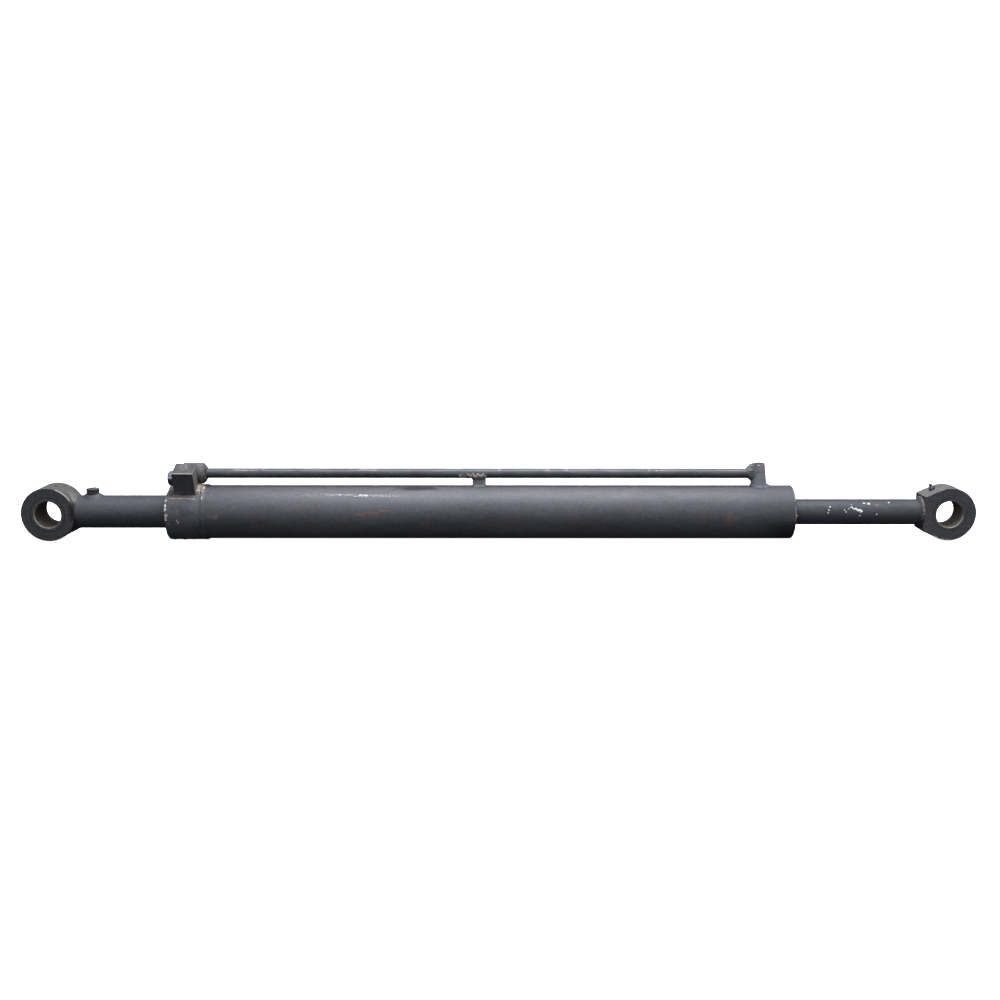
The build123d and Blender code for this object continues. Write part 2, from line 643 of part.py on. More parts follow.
def standoff_weld():
    """Fillets in front of and behind the stand-off's foot."""
    leg = 4.5
    beads = []
    for side in (-1, 1):
        outer = STANDOFF_HALF_DEPTH + leg
        height = math.sqrt(BARREL_R ** 2 - outer ** 2)
        face = STANDOFF_HALF_DEPTH * side
        section = make_face(Polyline(
            (face, height - 4.0), (face, BARREL_R + 3.0), (outer * side, height + 0.4),
            (outer * side, height - 4.0), close=True))
        bead = extrude(Plane.YZ * section, STANDOFF_WIDTH / 2 - 0.6, both=True)
        bead = Pos(STANDOFF_X, 0, 0) * bead
        beads.append(bead - x_cylinder(BARREL_R, BARREL_START, BARREL_END))
    return Compound(children=beads)


# ---- all nodes --------------------------------------------------------------------------
COLLAR_GLAND_R = COLLAR_BORE_R - SEAT_GAP
TUBE_GLAND_R = BORE_R - SEAT_GAP
LEFT_GLAND = facing(LEFT_GLAND_FACE, 1)
RIGHT_GLAND = facing(RIGHT_GLAND_FACE, -1)
LEFT_PISTON = facing(LEFT_PISTON_FACE, 1)
RIGHT_PISTON = facing(RIGHT_PISTON_FACE, -1)

NODES = {
    "barrel_tube": barrel_tube(),
    "left_head_collar": left_head_collar(),
    "collar_seam_weld": collar_seam_weld(),
    "left_gland": LEFT_GLAND * gland(COLLAR_GLAND_R, LEFT_ROD_R),
    "left_gland_o_ring": LEFT_GLAND * gland_o_ring(COLLAR_GLAND_R),
    "left_rod_wiper": LEFT_GLAND * rod_wiper(LEFT_ROD_R),
    "left_rod_seal": LEFT_GLAND * rod_seal(LEFT_ROD_R),
    "left_rod_guide": LEFT_GLAND * rod_guide(LEFT_ROD_R),
    "right_gland": RIGHT_GLAND * gland(TUBE_GLAND_R, RIGHT_ROD_R),
    "right_gland_o_ring": RIGHT_GLAND * gland_o_ring(TUBE_GLAND_R),
    "right_rod_wiper": RIGHT_GLAND * rod_wiper(RIGHT_ROD_R),
    "right_rod_seal": RIGHT_GLAND * rod_seal(RIGHT_ROD_R),
    "right_rod_guide": RIGHT_GLAND * rod_guide(RIGHT_ROD_R),
    "port_block": port_block(),
    "port_plug": port_plug(),
    "port_plug_washer": port_plug_washer(),
    "block_weld": block_weld(),
    "pipe_socket": pipe_socket(),
    "socket_pipe_weld": socket_pipe_weld(),
    "transfer_pipe": transfer_pipe(),
    "pipe_standoff": pipe_standoff(),
    "standoff_weld": standoff_weld(),
    "right_port_boss": right_port_boss(),
    "boss_pipe_weld": boss_pipe_weld(),
    "boss_foot_weld": boss_foot_weld(),
    "left_wear_rings": LEFT_PISTON * wear_rings(),
    "left_piston_seal": LEFT_PISTON * piston_seal(),
    "left_rod": left_rod(),
    "left_eye": left_eye(),
    "left_eye_bushing": left_eye_bushing(),
    "left_oil_port_boss": left_oil_port_boss(),
    "left_port_weld": left_port_weld(),
    "left_piston": LEFT_PISTON * piston(LEFT_STUB_R),
    "left_piston_o_ring": LEFT_PISTON * bore_o_ring(LEFT_STUB_R),
    "left_piston_nut": LEFT_PISTON * piston_nut(LEFT_STUB_R, LEFT_NUT_FLATS),
    "right_wear_rings": RIGHT_PISTON * wear_rings(),
    "right_piston_seal": RIGHT_PISTON * piston_seal(),
    "right_rod": right_rod(),
    "right_eye": right_eye(),
    "right_eye_bushing": right_eye_bushing(),
    "right_eye_weld": right_eye_weld(),
    "grease_nipple": grease_nipple(),
    "right_piston": RIGHT_PISTON * piston(RIGHT_STUB_R),
    "right_piston_o_ring": RIGHT_PISTON * bore_o_ring(RIGHT_STUB_R),
    "right_piston_nut": RIGHT_PISTON * piston_nut(RIGHT_STUB_R, RIGHT_NUT_FLATS),
}

os.makedirs("parts", exist_ok=True)
for name, shape in NODES.items():
    export_step(shape, f"parts/{name}.step")
    print(f"{name}: {len(shape.solids())} solid(s), {shape.volume:.0f} mm3")
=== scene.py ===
import math
import random
import bpy
from mathutils import Matrix, Vector, noise


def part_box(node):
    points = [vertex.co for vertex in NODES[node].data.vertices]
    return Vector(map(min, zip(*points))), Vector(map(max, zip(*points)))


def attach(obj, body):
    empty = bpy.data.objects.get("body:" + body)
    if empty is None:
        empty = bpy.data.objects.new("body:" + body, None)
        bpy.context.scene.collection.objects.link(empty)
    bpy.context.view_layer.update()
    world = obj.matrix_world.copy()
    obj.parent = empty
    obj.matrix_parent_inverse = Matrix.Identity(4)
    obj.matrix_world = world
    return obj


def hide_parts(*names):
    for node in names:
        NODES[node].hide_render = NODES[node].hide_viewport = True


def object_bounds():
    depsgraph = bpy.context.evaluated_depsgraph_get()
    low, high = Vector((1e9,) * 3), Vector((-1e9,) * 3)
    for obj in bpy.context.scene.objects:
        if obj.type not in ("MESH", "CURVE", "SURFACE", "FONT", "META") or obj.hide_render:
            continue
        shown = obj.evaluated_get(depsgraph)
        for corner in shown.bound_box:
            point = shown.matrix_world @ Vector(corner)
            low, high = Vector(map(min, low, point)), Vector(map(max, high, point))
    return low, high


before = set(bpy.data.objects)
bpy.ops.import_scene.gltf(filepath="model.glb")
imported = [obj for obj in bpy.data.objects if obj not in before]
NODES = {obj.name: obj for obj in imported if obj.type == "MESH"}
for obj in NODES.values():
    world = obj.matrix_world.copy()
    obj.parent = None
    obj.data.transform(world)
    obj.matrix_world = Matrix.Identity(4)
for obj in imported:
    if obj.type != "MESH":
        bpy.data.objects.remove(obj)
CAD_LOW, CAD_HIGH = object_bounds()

# Looks of the telescopic hydraulic cylinder. Shapes are worked out in millimetres in the
# row frame (+X along the cylinder, +Y along the pins, +Z up) and written as metres.
MM = 0.001
SCENE = bpy.context.scene


# ---- places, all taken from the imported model
def box(node):
    """Lowest and highest corner of a CAD node, in millimetres."""
    low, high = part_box(node)
    return low / MM, high / MM


def box_turned(node, turn):
    """Box of a CAD node in a frame that is turned about the row's origin."""
    points = [turn @ (vertex.co / MM) for vertex in NODES[node].data.vertices]
    low = Vector(min(p[axis] for p in points) for axis in range(3))
    high = Vector(max(p[axis] for p in points) for axis in range(3))
    return low, high


BLOCK_TILT = math.radians(21)
BOSS_LEAN = math.radians(7)
HEAD = Matrix.Rotation(BLOCK_TILT, 3, "X")  # leaning frame of the flat and the block

RIGHT_PIN_X = (box("right_eye_bushing")[0].x + box("right_eye_bushing")[1].x) / 2
COLLAR_START = box("left_head_collar")[0].x
COLLAR_R = box("left_head_collar")[1].y
BARREL_START, BARREL_END = box("barrel_tube")[0].x, box("barrel_tube")[1].x
BARREL_R = box("barrel_tube")[1].y
BLOCK_LOW, BLOCK_HIGH = box_turned("port_block", HEAD.inverted())
PIPE_LOW, PIPE_HIGH = box("transfer_pipe")
PIPE_R = (PIPE_HIGH.z - PIPE_LOW.z) / 2
PIPE_Z = (PIPE_HIGH.z + PIPE_LOW.z) / 2
SOCKET_END = box("pipe_socket")[1].x
SOCKET_R = box("pipe_socket")[1].z - PIPE_Z
STANDOFF_LOW, STANDOFF_HIGH = box("pipe_standoff")
BOSS_LOW, BOSS_HIGH = box("right_port_boss")
BOSS_R = BOSS_HIGH.y
PORT_LOW, PORT_HIGH = box("left_oil_port_boss")
PORT_R = PORT_HIGH.y
PORT_X = (PORT_LOW.x + PORT_HIGH.x) / 2
LEFT_ROD_R = box("left_rod")[1].y
RIGHT_ROD_R = box("right_rod")[1].y
EYE_FACE_X = box("right_eye")[0].x
LEFT_EYE_R = box("left_eye")[1].z
LEFT_EYE_HALF = box("left_eye")[1].y
RIGHT_EYE_HALF = box("right_eye")[1].y
BUSHING_R = box("left_eye_bushing")[1].z
PLUG_Z = (box("port_plug")[0].z + box("port_plug")[1].z) / 2
FLAT_HEIGHT = BLOCK_LOW.z  # of the collar's milled flat, in the leaning frame
FLAT_FRONT_Y = -math.sqrt(COLLAR_R ** 2 - FLAT_HEIGHT ** 2)

MID_X = RIGHT_PIN_X / 2 + 0.9  # the camera looks at this place along the cylinder

# ---- camera
CAMERA_DISTANCE = 1.347 * RIGHT_PIN_X
CAMERA_ELEVATION = math.radians(11.4)
AIM_ABOVE_AXIS = 15.9
CAMERA_ROLL = math.radians(0.02)
LENS_MM = 43.2
SENSOR_MM = 36.0


def add_camera():
    """Camera in front of the cylinder and a little above it."""
    data = bpy.data.cameras.new("camera")
    data.lens = LENS_MM
    data.sensor_width = SENSOR_MM
    camera = bpy.data.objects.new("camera", data)
    SCENE.collection.objects.link(camera)
    centre = Vector((MID_X, 0, 0)) * MM
    back = Vector((0, -math.cos(CAMERA_ELEVATION), math.sin(CAMERA_ELEVATION)))
    up = Vector((0, math.sin(CAMERA_ELEVATION), math.cos(CAMERA_ELEVATION)))
    camera.location = centre + back * CAMERA_DISTANCE * MM
    target = centre + up * AIM_ABOVE_AXIS * MM
    aim = (target - camera.location).to_track_quat("-Z", "Y").to_matrix()
    camera.rotation_euler = (aim @ Matrix.Rotation(CAMERA_ROLL, 3, "Z")).to_euler()
    SCENE.camera = camera


add_camera()

# ---- light
SCENE.view_settings.view_transform = "Standard"
SKY = ((0.0, 0.065), (0.47, 0.07), (0.51, 0.14), (0.6, 0.72), (0.72, 1.0), (1.0, 0.9))
BACK_LEVEL = 0.19  # of the sky's light that comes from behind the cylinder


def add_world():
    """Grey studio: dark below the horizon, brighter towards the ceiling."""
    world = bpy.data.worlds.new("studio")
    world.use_nodes = True
    tree = world.node_tree
    new, link = tree.nodes.new, tree.links.new
    background = tree.nodes["Background"]
    coords = new("ShaderNodeTexCoord")
    split = new("ShaderNodeSeparateXYZ")
    height = new("ShaderNodeMapRange")
    height.inputs["From Min"].default_value = -1.0
    ramp = new("ShaderNodeValToRGB")
    link(coords.outputs["Generated"], split.inputs[0])
    link(split.outputs["Z"], height.inputs["Value"])
    link(height.outputs[0], ramp.inputs[0])
    away = new("ShaderNodeMapRange")
    away.interpolation_type = "SMOOTHSTEP"
    away.inputs["From Min"].default_value = -0.25
    away.inputs["From Max"].default_value = 0.55
    away.inputs["To Min"].default_value = 1.0
    away.inputs["To Max"].default_value = BACK_LEVEL
    link(split.outputs["Y"], away.inputs["Value"])
    link(away.outputs[0], background.inputs["Strength"])
    link(ramp.outputs[0], background.inputs["Color"])
    stops = ramp.color_ramp.elements
    while len(stops) < len(SKY):
        stops.new(0.5)
    for stop, (place, level) in zip(stops, SKY):
        stop.position = place
        stop.color = (level * 0.95, level * 0.98, level * 1.07, 1)
    SCENE.world = world


def add_area(name, place, size, power, colour):
    """Soft box that faces the middle of the cylinder. Place is in metres from that middle."""
    data = bpy.data.lights.new(name, "AREA")
    data.shape = "RECTANGLE"
    data.size, data.size_y = size
    data.energy = power
    data.color = colour
    lamp = bpy.data.objects.new(name, data)
    SCENE.collection.objects.link(lamp)
    lamp.location = Vector((MID_X * MM, 0, 0)) + Vector(place)
    lamp.rotation_euler = (-Vector(place)).to_track_quat("-Z", "Y").to_euler()


add_world()
add_area("overhead", (0.12, -0.2, 1.95), (1.5, 1.4), 68, (0.94, 0.97, 1.05))


# ---- floor and backdrop
def add_backdrop(name, verts, faces, material):
    """Pale surface that the camera sees and that lights and mirrors nothing."""
    mesh = bpy.data.meshes.new(name)
    mesh.from_pydata(verts, [], faces)
    mesh.materials.append(material)
    surface = bpy.data.objects.new(name, mesh)
    SCENE.collection.objects.link(surface)
    surface.visible_diffuse = False
    surface.visible_glossy = False
    return surface


def add_cove():
    """Floor that curves up into a backdrop, one pale sheet."""
    floor_z = CAD_LOW.z
    front, back, radius, height, half = -6.0, 3.0, 1.5, 6.0, 9.0
    profile = [(front, floor_z), (back, floor_z)]
    steps = 12
    for i in range(1, steps + 1):
        angle = math.pi / 2 * i / steps
        profile.append((back + radius * math.sin(angle), floor_z + radius * (1 - math.cos(angle))))
    profile.append((back + radius, floor_z + height))
    verts = [(MID_X * MM + side * half, y, z) for y, z in profile for side in (-1, 1)]
    faces = [(2 * i, 2 * i + 1, 2 * i + 3, 2 * i + 2) for i in range(len(profile) - 1)]
    material = bpy.data.materials.new("cove")
    material.use_nodes = True
    shader = material.node_tree.nodes["Principled BSDF"]
    shader.inputs["Base Color"].default_value = (0.9, 0.9, 0.9, 1)
    shader.inputs["Roughness"].default_value = 0.9
    shader.inputs["Emission Color"].default_value = (1, 1, 1, 1)
    shader.inputs["Emission Strength"].default_value = 1.0
    cove = add_backdrop("cove", verts, faces, material)
    for face in cove.data.polygons:
        face.use_smooth = True


def add_wall():
    """Round pale wall outside the floor, so every side view has the same plain background."""
    radius, height, steps = 4.2, 7.0, 64
    ring = [2 * math.pi * k / steps for k in range(steps)]
    verts = [(MID_X * MM + radius * math.cos(angle), radius * math.sin(angle), z)
             for z in (CAD_LOW.z - 0.5, CAD_LOW.z + height) for angle in ring]
    faces = [(k, (k + 1) % steps, steps + (k + 1) % steps, steps + k) for k in range(steps)]
    wall = add_backdrop("wall", verts, faces, bpy.data.materials["cove"])
    wall.visible_shadow = False


add_cove()
add_wall()

# ---- colours, linear
CHIP_WHITE = (0.72, 0.72, 0.73)
CREAM = (0.44, 0.40, 0.32)
TAN = (0.21, 0.17, 0.12)
DUST = (0.15, 0.14, 0.125)
RUST = (0.20, 0.108, 0.060)
BROWN = (0.085, 0.062, 0.045)
# near black, used for soot and grime and also for painted shade
SOOT_AND_SHADE = (0.012, 0.012, 0.014)
CHROME = (0.56, 0.57, 0.59)


# ---- node graphs
class Graph:
    """A material, with short names for the shader nodes that its pattern uses."""

    def __init__(self, name, metallic=0.0):
        self.material = bpy.data.materials.new(name)
        self.material.use_nodes = True
        self.tree = self.material.node_tree
        self.shader = self.tree.nodes["Principled BSDF"]
        self.shader.inputs["Metallic"].default_value = metallic
        self.shader.inputs["IOR"].default_value = 1.5
        coords = self.add("ShaderNodeTexCoord")
        self.place = coords.outputs["Object"]
        self.normal = coords.outputs["Normal"]

    def add(self, kind, **settings):
        node = self.tree.nodes.new(kind)
        for key, value in settings.items():
            setattr(node, key, value)
        return node

    def feed(self, socket, value):
        if isinstance(value, bpy.types.NodeSocket):
            self.tree.links.new(value, socket)
        elif isinstance(value, (tuple, Vector)) and len(value) == 3 and socket.type == "RGBA":
            socket.default_value = (*value, 1.0)
        else:
            socket.default_value = value

    def math(self, operation, *values):
        node = self.add("ShaderNodeMath", operation=operation)
        for socket, value in zip(node.inputs, values):
            self.feed(socket, value)
        return node.outputs[0]

    def vector(self, operation, *values):
        node = self.add("ShaderNodeVectorMath", operation=operation)
        for socket, value in zip(node.inputs, values):
            self.feed(socket, value)
        return node.outputs["Value" if operation in ("LENGTH", "DOT_PRODUCT") else "Vector"]

    def split(self, vector):
        node = self.add("ShaderNodeSeparateXYZ")
        self.feed(node.inputs[0], vector)
        return node.outputs

    def at(self, axis):
        """Coordinate along one axis."""
        return self.split(self.place)[axis]

    def up(self):
        """How much the surface faces up."""
        return self.split(self.normal)[2]

    def plus(self, first, second):
        return self.math("ADD", first, second)

    def step(self, value, low, high):
        """0 below low, 1 above high, and smooth between them. Low may be the greater."""
        node = self.add("ShaderNodeMapRange", interpolation_type="SMOOTHSTEP")
        self.feed(node.inputs["Value"], value)
        self.feed(node.inputs["From Min"], low)
        self.feed(node.inputs["From Max"], high)
        return node.outputs[0]

    def noise(self, size_mm, detail=3.0, stretch=(1, 1, 1)):
        """Soft noise with features about size_mm across, times stretch along each axis."""
        scale = tuple(1 / (size_mm * MM * factor) for factor in stretch)
        node = self.add("ShaderNodeTexNoise")
        self.feed(node.inputs["Vector"], self.vector("MULTIPLY", self.place, scale))
        node.inputs["Scale"].default_value = 1.0
        node.inputs["Detail"].default_value = detail
        node.inputs["Roughness"].default_value = 0.55
        return node.outputs["Fac"]

    def patches(self, low, high, *noise_settings):
        """Patches cut out of soft noise."""
        return self.step(self.noise(*noise_settings), low, high)

    def mix(self, share, first, second):
        node = self.add("ShaderNodeMix", data_type="RGBA")
        self.feed(node.inputs[0], share)
        self.feed(node.inputs[6], first)
        self.feed(node.inputs[7], second)
        return node.outputs[2]

    def either(self, *masks):
        """Union of masks."""
        union = masks[0]
        for mask in masks[1:]:
            union = self.math("MAXIMUM", union, mask)
        return union

    def both(self, *masks):
        """Product of masks."""
        product = masks[0]
        for mask in masks[1:]:
            product = self.math("MULTIPLY", product, mask)
        return product

    def spot(self, centre, half, ragged=0.5, grain=2.5, soft=0.08):
        """Ragged oval patch: centre and half lengths in millimetres."""
        offset = self.vector("SUBTRACT", self.place, Vector(centre) * MM)
        scaled = self.vector("DIVIDE", offset, Vector(half) * MM)
        wander = self.math("MULTIPLY", self.math("SUBTRACT", self.noise(grain), 0.5), 4 * ragged)
        distance = self.math("ADD", self.vector("LENGTH", scaled), wander)
        return self.step(distance, 1 + soft, 1 - soft)

    def on_bar(self, radius, x, elevation, half_x, half_across, z=0.0, **ragged):
        """Patch on a bar along X, at an angle up from the side that faces -Y."""
        angle = math.radians(elevation)
        centre = (x, -radius * math.cos(angle), z + radius * math.sin(angle))
        half_y = half_across * abs(math.sin(angle)) + 0.2
        half_z = half_across * abs(math.cos(angle)) + 0.2
        return self.spot(centre, (half_x, half_y, half_z), **ragged)

    def edges(self, radius_mm=1.1):
        """1 on sharp outer and inner edges."""
        round_off = self.add("ShaderNodeBevel", samples=6)
        round_off.inputs["Radius"].default_value = radius_mm * MM
        flat = self.add("ShaderNodeNewGeometry").outputs["Normal"]
        agree = self.vector("DOT_PRODUCT", round_off.outputs[0], flat)
        return self.step(self.math("SUBTRACT", 1.0, agree), 0.02, 0.16)

    def bump(self, height, depth_mm, strength):
        node = self.add("ShaderNodeBump")
        node.inputs["Strength"].default_value = strength
        node.inputs["Distance"].default_value = depth_mm * MM
        self.feed(node.inputs["Height"], height)
        self.feed(self.shader.inputs["Normal"], node.outputs[0])

    def finish(self, colour, roughness):
        self.feed(self.shader.inputs["Base Color"], colour)
        self.feed(self.shader.inputs["Roughness"], roughness)
        return self.material


def shade(colour, factor):
    """Colour made lighter or darker."""
    return tuple(channel * factor for channel in colour)


# ---- paint
PAINT = (0.062, 0.064, 0.072)
ROD_PAINT = (0.043, 0.045, 0.051)
EYE_PAINT = (0.042, 0.043, 0.046)
# three times lighter than the barrel's paint: partly the boss's paint, partly painted light
BOSS_PAINT_AND_LIGHT = (0.20, 0.20, 0.21)
PAINT_ROUGHNESS = 0.49
WARM = (0.062, 0.058, 0.053)  # paint that has gone brownish


def paint(name, tone=PAINT, dusty=0.35, worn=0.5, wear=None, streak=(12, 1, 1), bare=None, grain=0.45,
          gloss=0.5):
    """Satin black paint over steel: blotchy tone, pale grain, dust on top, worn edges.

    wear(graph) gives [(mask, colour)] laid over the paint, streak how far marks are drawn out
    along each axis, and bare (start, full) the x between which paint gives way to chrome.
    grain is how strong the fine grain is, and gloss how much the paint reflects; soot and painted shade dull
    it.
    """
    g = Graph(name)
    drift = g.patches(0.3, 0.7, 40, 3, (4, 1, 1))
    colour = g.mix(drift, shade(tone, 0.76), shade(tone, 1.2))
    blotches = g.patches(0.36, 0.66, 7, 3, (1 + streak[0] / 4, 1, 1))
    colour = g.mix(g.both(blotches, 0.22), colour, shade(tone, 1.75))
    dark = g.patches(0.46, 0.30, 4.2, 3, (2.5, 1, 1))
    colour = g.mix(g.both(dark, 0.35), colour, shade(tone, 0.45))
    warm = g.patches(0.50, 0.72, 24, 3)
    colour = g.mix(g.both(warm, 0.45), colour, WARM)
    specks = g.patches(0.46, 0.76, 1.9, 2)
    colour = g.mix(g.both(specks, grain), colour, shade(tone, 2.2))
    drawn = g.patches(0.60, 0.74, 1.7, 3, streak)
    colour = g.mix(g.both(drawn, 0.22), colour, DUST)
    up = g.up()
    lying = g.both(g.step(up, 0.25, 1.0), g.patches(0.35, 0.7, 9, 4), dusty)
    colour = g.mix(lying, colour, DUST)
    freckles = g.both(g.patches(0.68, 0.75, 2.2, 2), g.patches(0.48, 0.62, 30, 2))
    colour = g.mix(g.both(freckles, 0.6), colour, TAN)
    rim = g.both(g.edges(), g.patches(0.40, 0.62, 3.5, 3), worn)
    colour = g.mix(rim, colour, DUST)
    shine = gloss
    for mask, laid in (wear(g) if wear else []):
        colour = g.mix(mask, colour, laid)
        if laid == SOOT_AND_SHADE:
            shine = g.both(shine, g.math("SUBTRACT", 1.0, g.both(mask, 0.8)))
    matt = g.plus(PAINT_ROUGHNESS, g.both(g.noise(6, 3), 0.12))
    g.feed(g.shader.inputs["Specular IOR Level"], shine)
    orange_peel = g.plus(g.noise(1.3, 2), g.both(g.noise(5, 2), 1.5))
    g.bump(orange_peel, 0.09, 0.6)
    if bare:
        x = g.plus(g.at(0), g.both(g.noise(5, 3), 1.6 * MM))
        metal = g.step(x, bare[0] * MM, bare[1] * MM)
        polish = g.patches(0.35, 0.7, 0.5, 2, (40, 1, 1))
        colour = g.mix(metal, colour, g.mix(polish, shade(CHROME, 0.93), CHROME))
        matt = g.plus(matt, g.both(metal, -0.36))
        g.feed(g.shader.inputs["Metallic"], metal)
    return g.finish(colour, matt)


def ovals(g, radius, start, places, **ragged):
    """Patches on a bar; each place is (from start, elevation, half along, half across)."""
    return [g.on_bar(radius, start + at, up, length, width, **ragged)
            for at, up, length, width in places]


COLLAR_CHIPS = (  # from the left rim, elevation, half along, half across, colour
    (1.6, 34.5, 1.7, 2.8, CREAM), (1.1, 23.0, 1.8, 3.0, CHIP_WHITE), (1.2, 15.5, 1.9, 3.0, CHIP_WHITE),
    (2.3, 3.5, 2.4, 2.9, CREAM), (1.7, -5.5, 1.6, 2.8, CREAM), (5.0, -14.5, 1.5, 2.8, DUST))


def collar_wear(g):
    """Flaked left rim, a white chip, and the bare front edge of the milled flat."""
    chips = [(g.on_bar(COLLAR_R, COLLAR_START + at, up, length, width, ragged=0.5, grain=2.2), laid)
             for at, up, length, width, laid in COLLAR_CHIPS]
    chip = g.either(g.on_bar(COLLAR_R, COLLAR_START + 18.4, -12, 1.3, 1.9, ragged=0.35, grain=2),
                    g.on_bar(COLLAR_R, COLLAR_START + 16.7, -8, 0.9, 1.9, ragged=0.35, grain=2))
    fleck = g.on_bar(COLLAR_R, COLLAR_START + 51, 28, 1.0, 1.0, ragged=0.5, grain=1.5)
    dark = g.both(g.patches(0.50, 0.66, 11, 4, (1, 1, 1.6)), 0.35)
    line = g.both(flat_edge_mask(g, 0.0, 0.8, COLLAR_START + 3), 0.6)
    below = flat_edge_mask(g, 2.0, 0.55, (BLOCK_LOW.x + BLOCK_HIGH.x) / 2 + 2)
    stain_at = HEAD @ Vector((BLOCK_LOW.x + 7, FLAT_FRONT_Y + 1.0, FLAT_HEIGHT))
    stain = g.spot(stain_at, (7.5, 3.2, 3.2), ragged=0.7, grain=3)
    top = g.both(g.step(g.up(), 0.55, 0.8), g.patches(0.40, 0.60, 4, 3))
    left_of_block = g.step(g.at(0), (BLOCK_LOW.x + 1.5) * MM, (BLOCK_LOW.x - 0.5) * MM)
    return [(dark, SOOT_AND_SHADE), (g.both(top, left_of_block, 0.6), shade(TAN, 0.7)),
            (g.both(stain, 0.6), TAN), (g.both(below, 0.6), CREAM), (line, CREAM), *chips,
            (chip, CREAM), (fleck, DUST)]


def flat_edge_mask(g, below, thick, start):
    """Thin broken line along the front edge of the milled flat, or a little below that edge."""
    angle = math.atan2(FLAT_HEIGHT, FLAT_FRONT_Y) + below / COLLAR_R
    edge = HEAD @ Vector((0, COLLAR_R * math.cos(angle), COLLAR_R * math.sin(angle)))
    place = g.vector("MULTIPLY", g.place, (0, 1, 1))
    offset = g.vector("LENGTH", g.vector("SUBTRACT", place, edge * MM))
    wander = g.both(g.math("SUBTRACT", g.noise(4, 3), 0.5), 2.4 * MM)
    line = g.step(g.plus(offset, wander), thick * 1.1 * MM, thick * 0.6 * MM)
    x = g.at(0)
    from_start = g.step(x, start * MM, (start + 3) * MM)
    to_end = g.step(x, (BLOCK_HIGH.x + 2) * MM, BLOCK_HIGH.x * MM)
    brightness = g.plus(0.5, g.both(g.patches(0.35, 0.6, 6, 2), 0.5))
    return g.both(line, from_start, to_end, brightness)


def barrel_wear(g):
    """Scrapes and rust on the tube, placed from its left end, and painted shade at both ends and under the
    right end.
    """
    x = BARREL_START
    scrape = g.both(
        g.either(g.on_bar(BARREL_R, x + 193, 49.5, 22, 1.6, ragged=0.6, grain=8),
                 g.on_bar(BARREL_R, x + 219, 47.5, 19, 2.4, ragged=0.6, grain=6),
                 g.on_bar(BARREL_R, x + 244, 47.0, 17, 2.2, ragged=0.7, grain=6)),
        g.patches(0.49, 0.57, 1.5, 2, (1.4, 1, 1)))
    specks = g.both(g.on_bar(BARREL_R, x + 152, 49, 22, 3.0, ragged=0.6, grain=6),
                    g.patches(0.56, 0.64, 1.2, 2))
    bright = g.both(
        g.either(g.on_bar(BARREL_R, x + 217, 48, 7.0, 1.3, ragged=0.9),
                 g.on_bar(BARREL_R, x + 183, 50, 2.6, 1.0, ragged=0.9)),
        g.patches(0.44, 0.54, 1.3, 2))
    smear = g.either(*ovals(
        g, BARREL_R, x, ((214, 5.0, 9, 2.8), (229, 9, 10, 2.2), (244, 13, 9, 1.5)),
        ragged=0.5, grain=4))
    rust = g.both(
        g.on_bar(BARREL_R, x + 709, -8, 6.5, 11, ragged=0.6, grain=4),
        g.patches(0.42, 0.60, 1.9, 3))
    blush = g.on_bar(BARREL_R, x + 18, -1, 7, 4.5, ragged=0.8, grain=5)
    zones = ovals(g, BARREL_R, x,
                  ((375, 46, 20, 4), (350, 28, 22, 5), (484, 36, 12, 9),
                   (330, 44, 14, 5), (728, 40, 22, 10), (560, 48, 30, 5)), ragged=0.6, grain=6)
    scuffs = g.both(g.either(*zones), g.patches(0.60, 0.70, 1.5, 3, (2.2, 1, 1)))
    scratches = g.both(g.patches(0.60, 0.68, 0.9, 3, (9, 1, 1)),
                       g.patches(0.44, 0.60, 26, 3, (3, 1, 1)))
    smudge = g.on_bar(BARREL_R, x + 286, 70, 27, 6.5, ragged=0.5, grain=8, soft=0.5)
    stains = g.both(g.patches(0.56, 0.66, 14, 4, (4, 1, 1)), 0.22)
    rim = g.both(g.step(g.at(0), (BARREL_END - 1.9) * MM, (BARREL_END - 1.2) * MM),
                 g.step(g.at(2), -8 * MM, 0.0),
                 g.patches(0.38, 0.55, 7, 3))
    # painted shade: the tube darkens towards both ends, and on its underside near the right end
    at = g.at(0)
    shaded_ends = g.either(g.step(at, (x + 150) * MM, (x + 5) * MM),
                    g.step(at, (BARREL_END - 110) * MM, (BARREL_END - 5) * MM))
    under = g.both(g.step(at, (BARREL_END - 60) * MM, (BARREL_END - 4) * MM),
                   g.step(g.up(), 0.1, -0.5))
    return [
        (stains, BROWN),
        # painted shade at the ends and under the right end, which also dulls the gloss
        (g.both(shaded_ends, 0.22), SOOT_AND_SHADE),
        (g.both(under, 0.7), SOOT_AND_SHADE),
        (g.both(smudge, 0.7), SOOT_AND_SHADE),
        (g.both(blush, 0.4), TAN),
        (g.both(rust, 0.85), RUST),
        (g.both(smear, 0.55), RUST),
        (g.both(scuffs, 0.22), CREAM),
        (g.both(scratches, 0.16), CREAM),
        (g.both(specks, 0.6), CREAM),
        (g.both(scrape, 0.66), CREAM),
        (g.both(rim, 0.7), CREAM),
        (bright, CHIP_WHITE)]


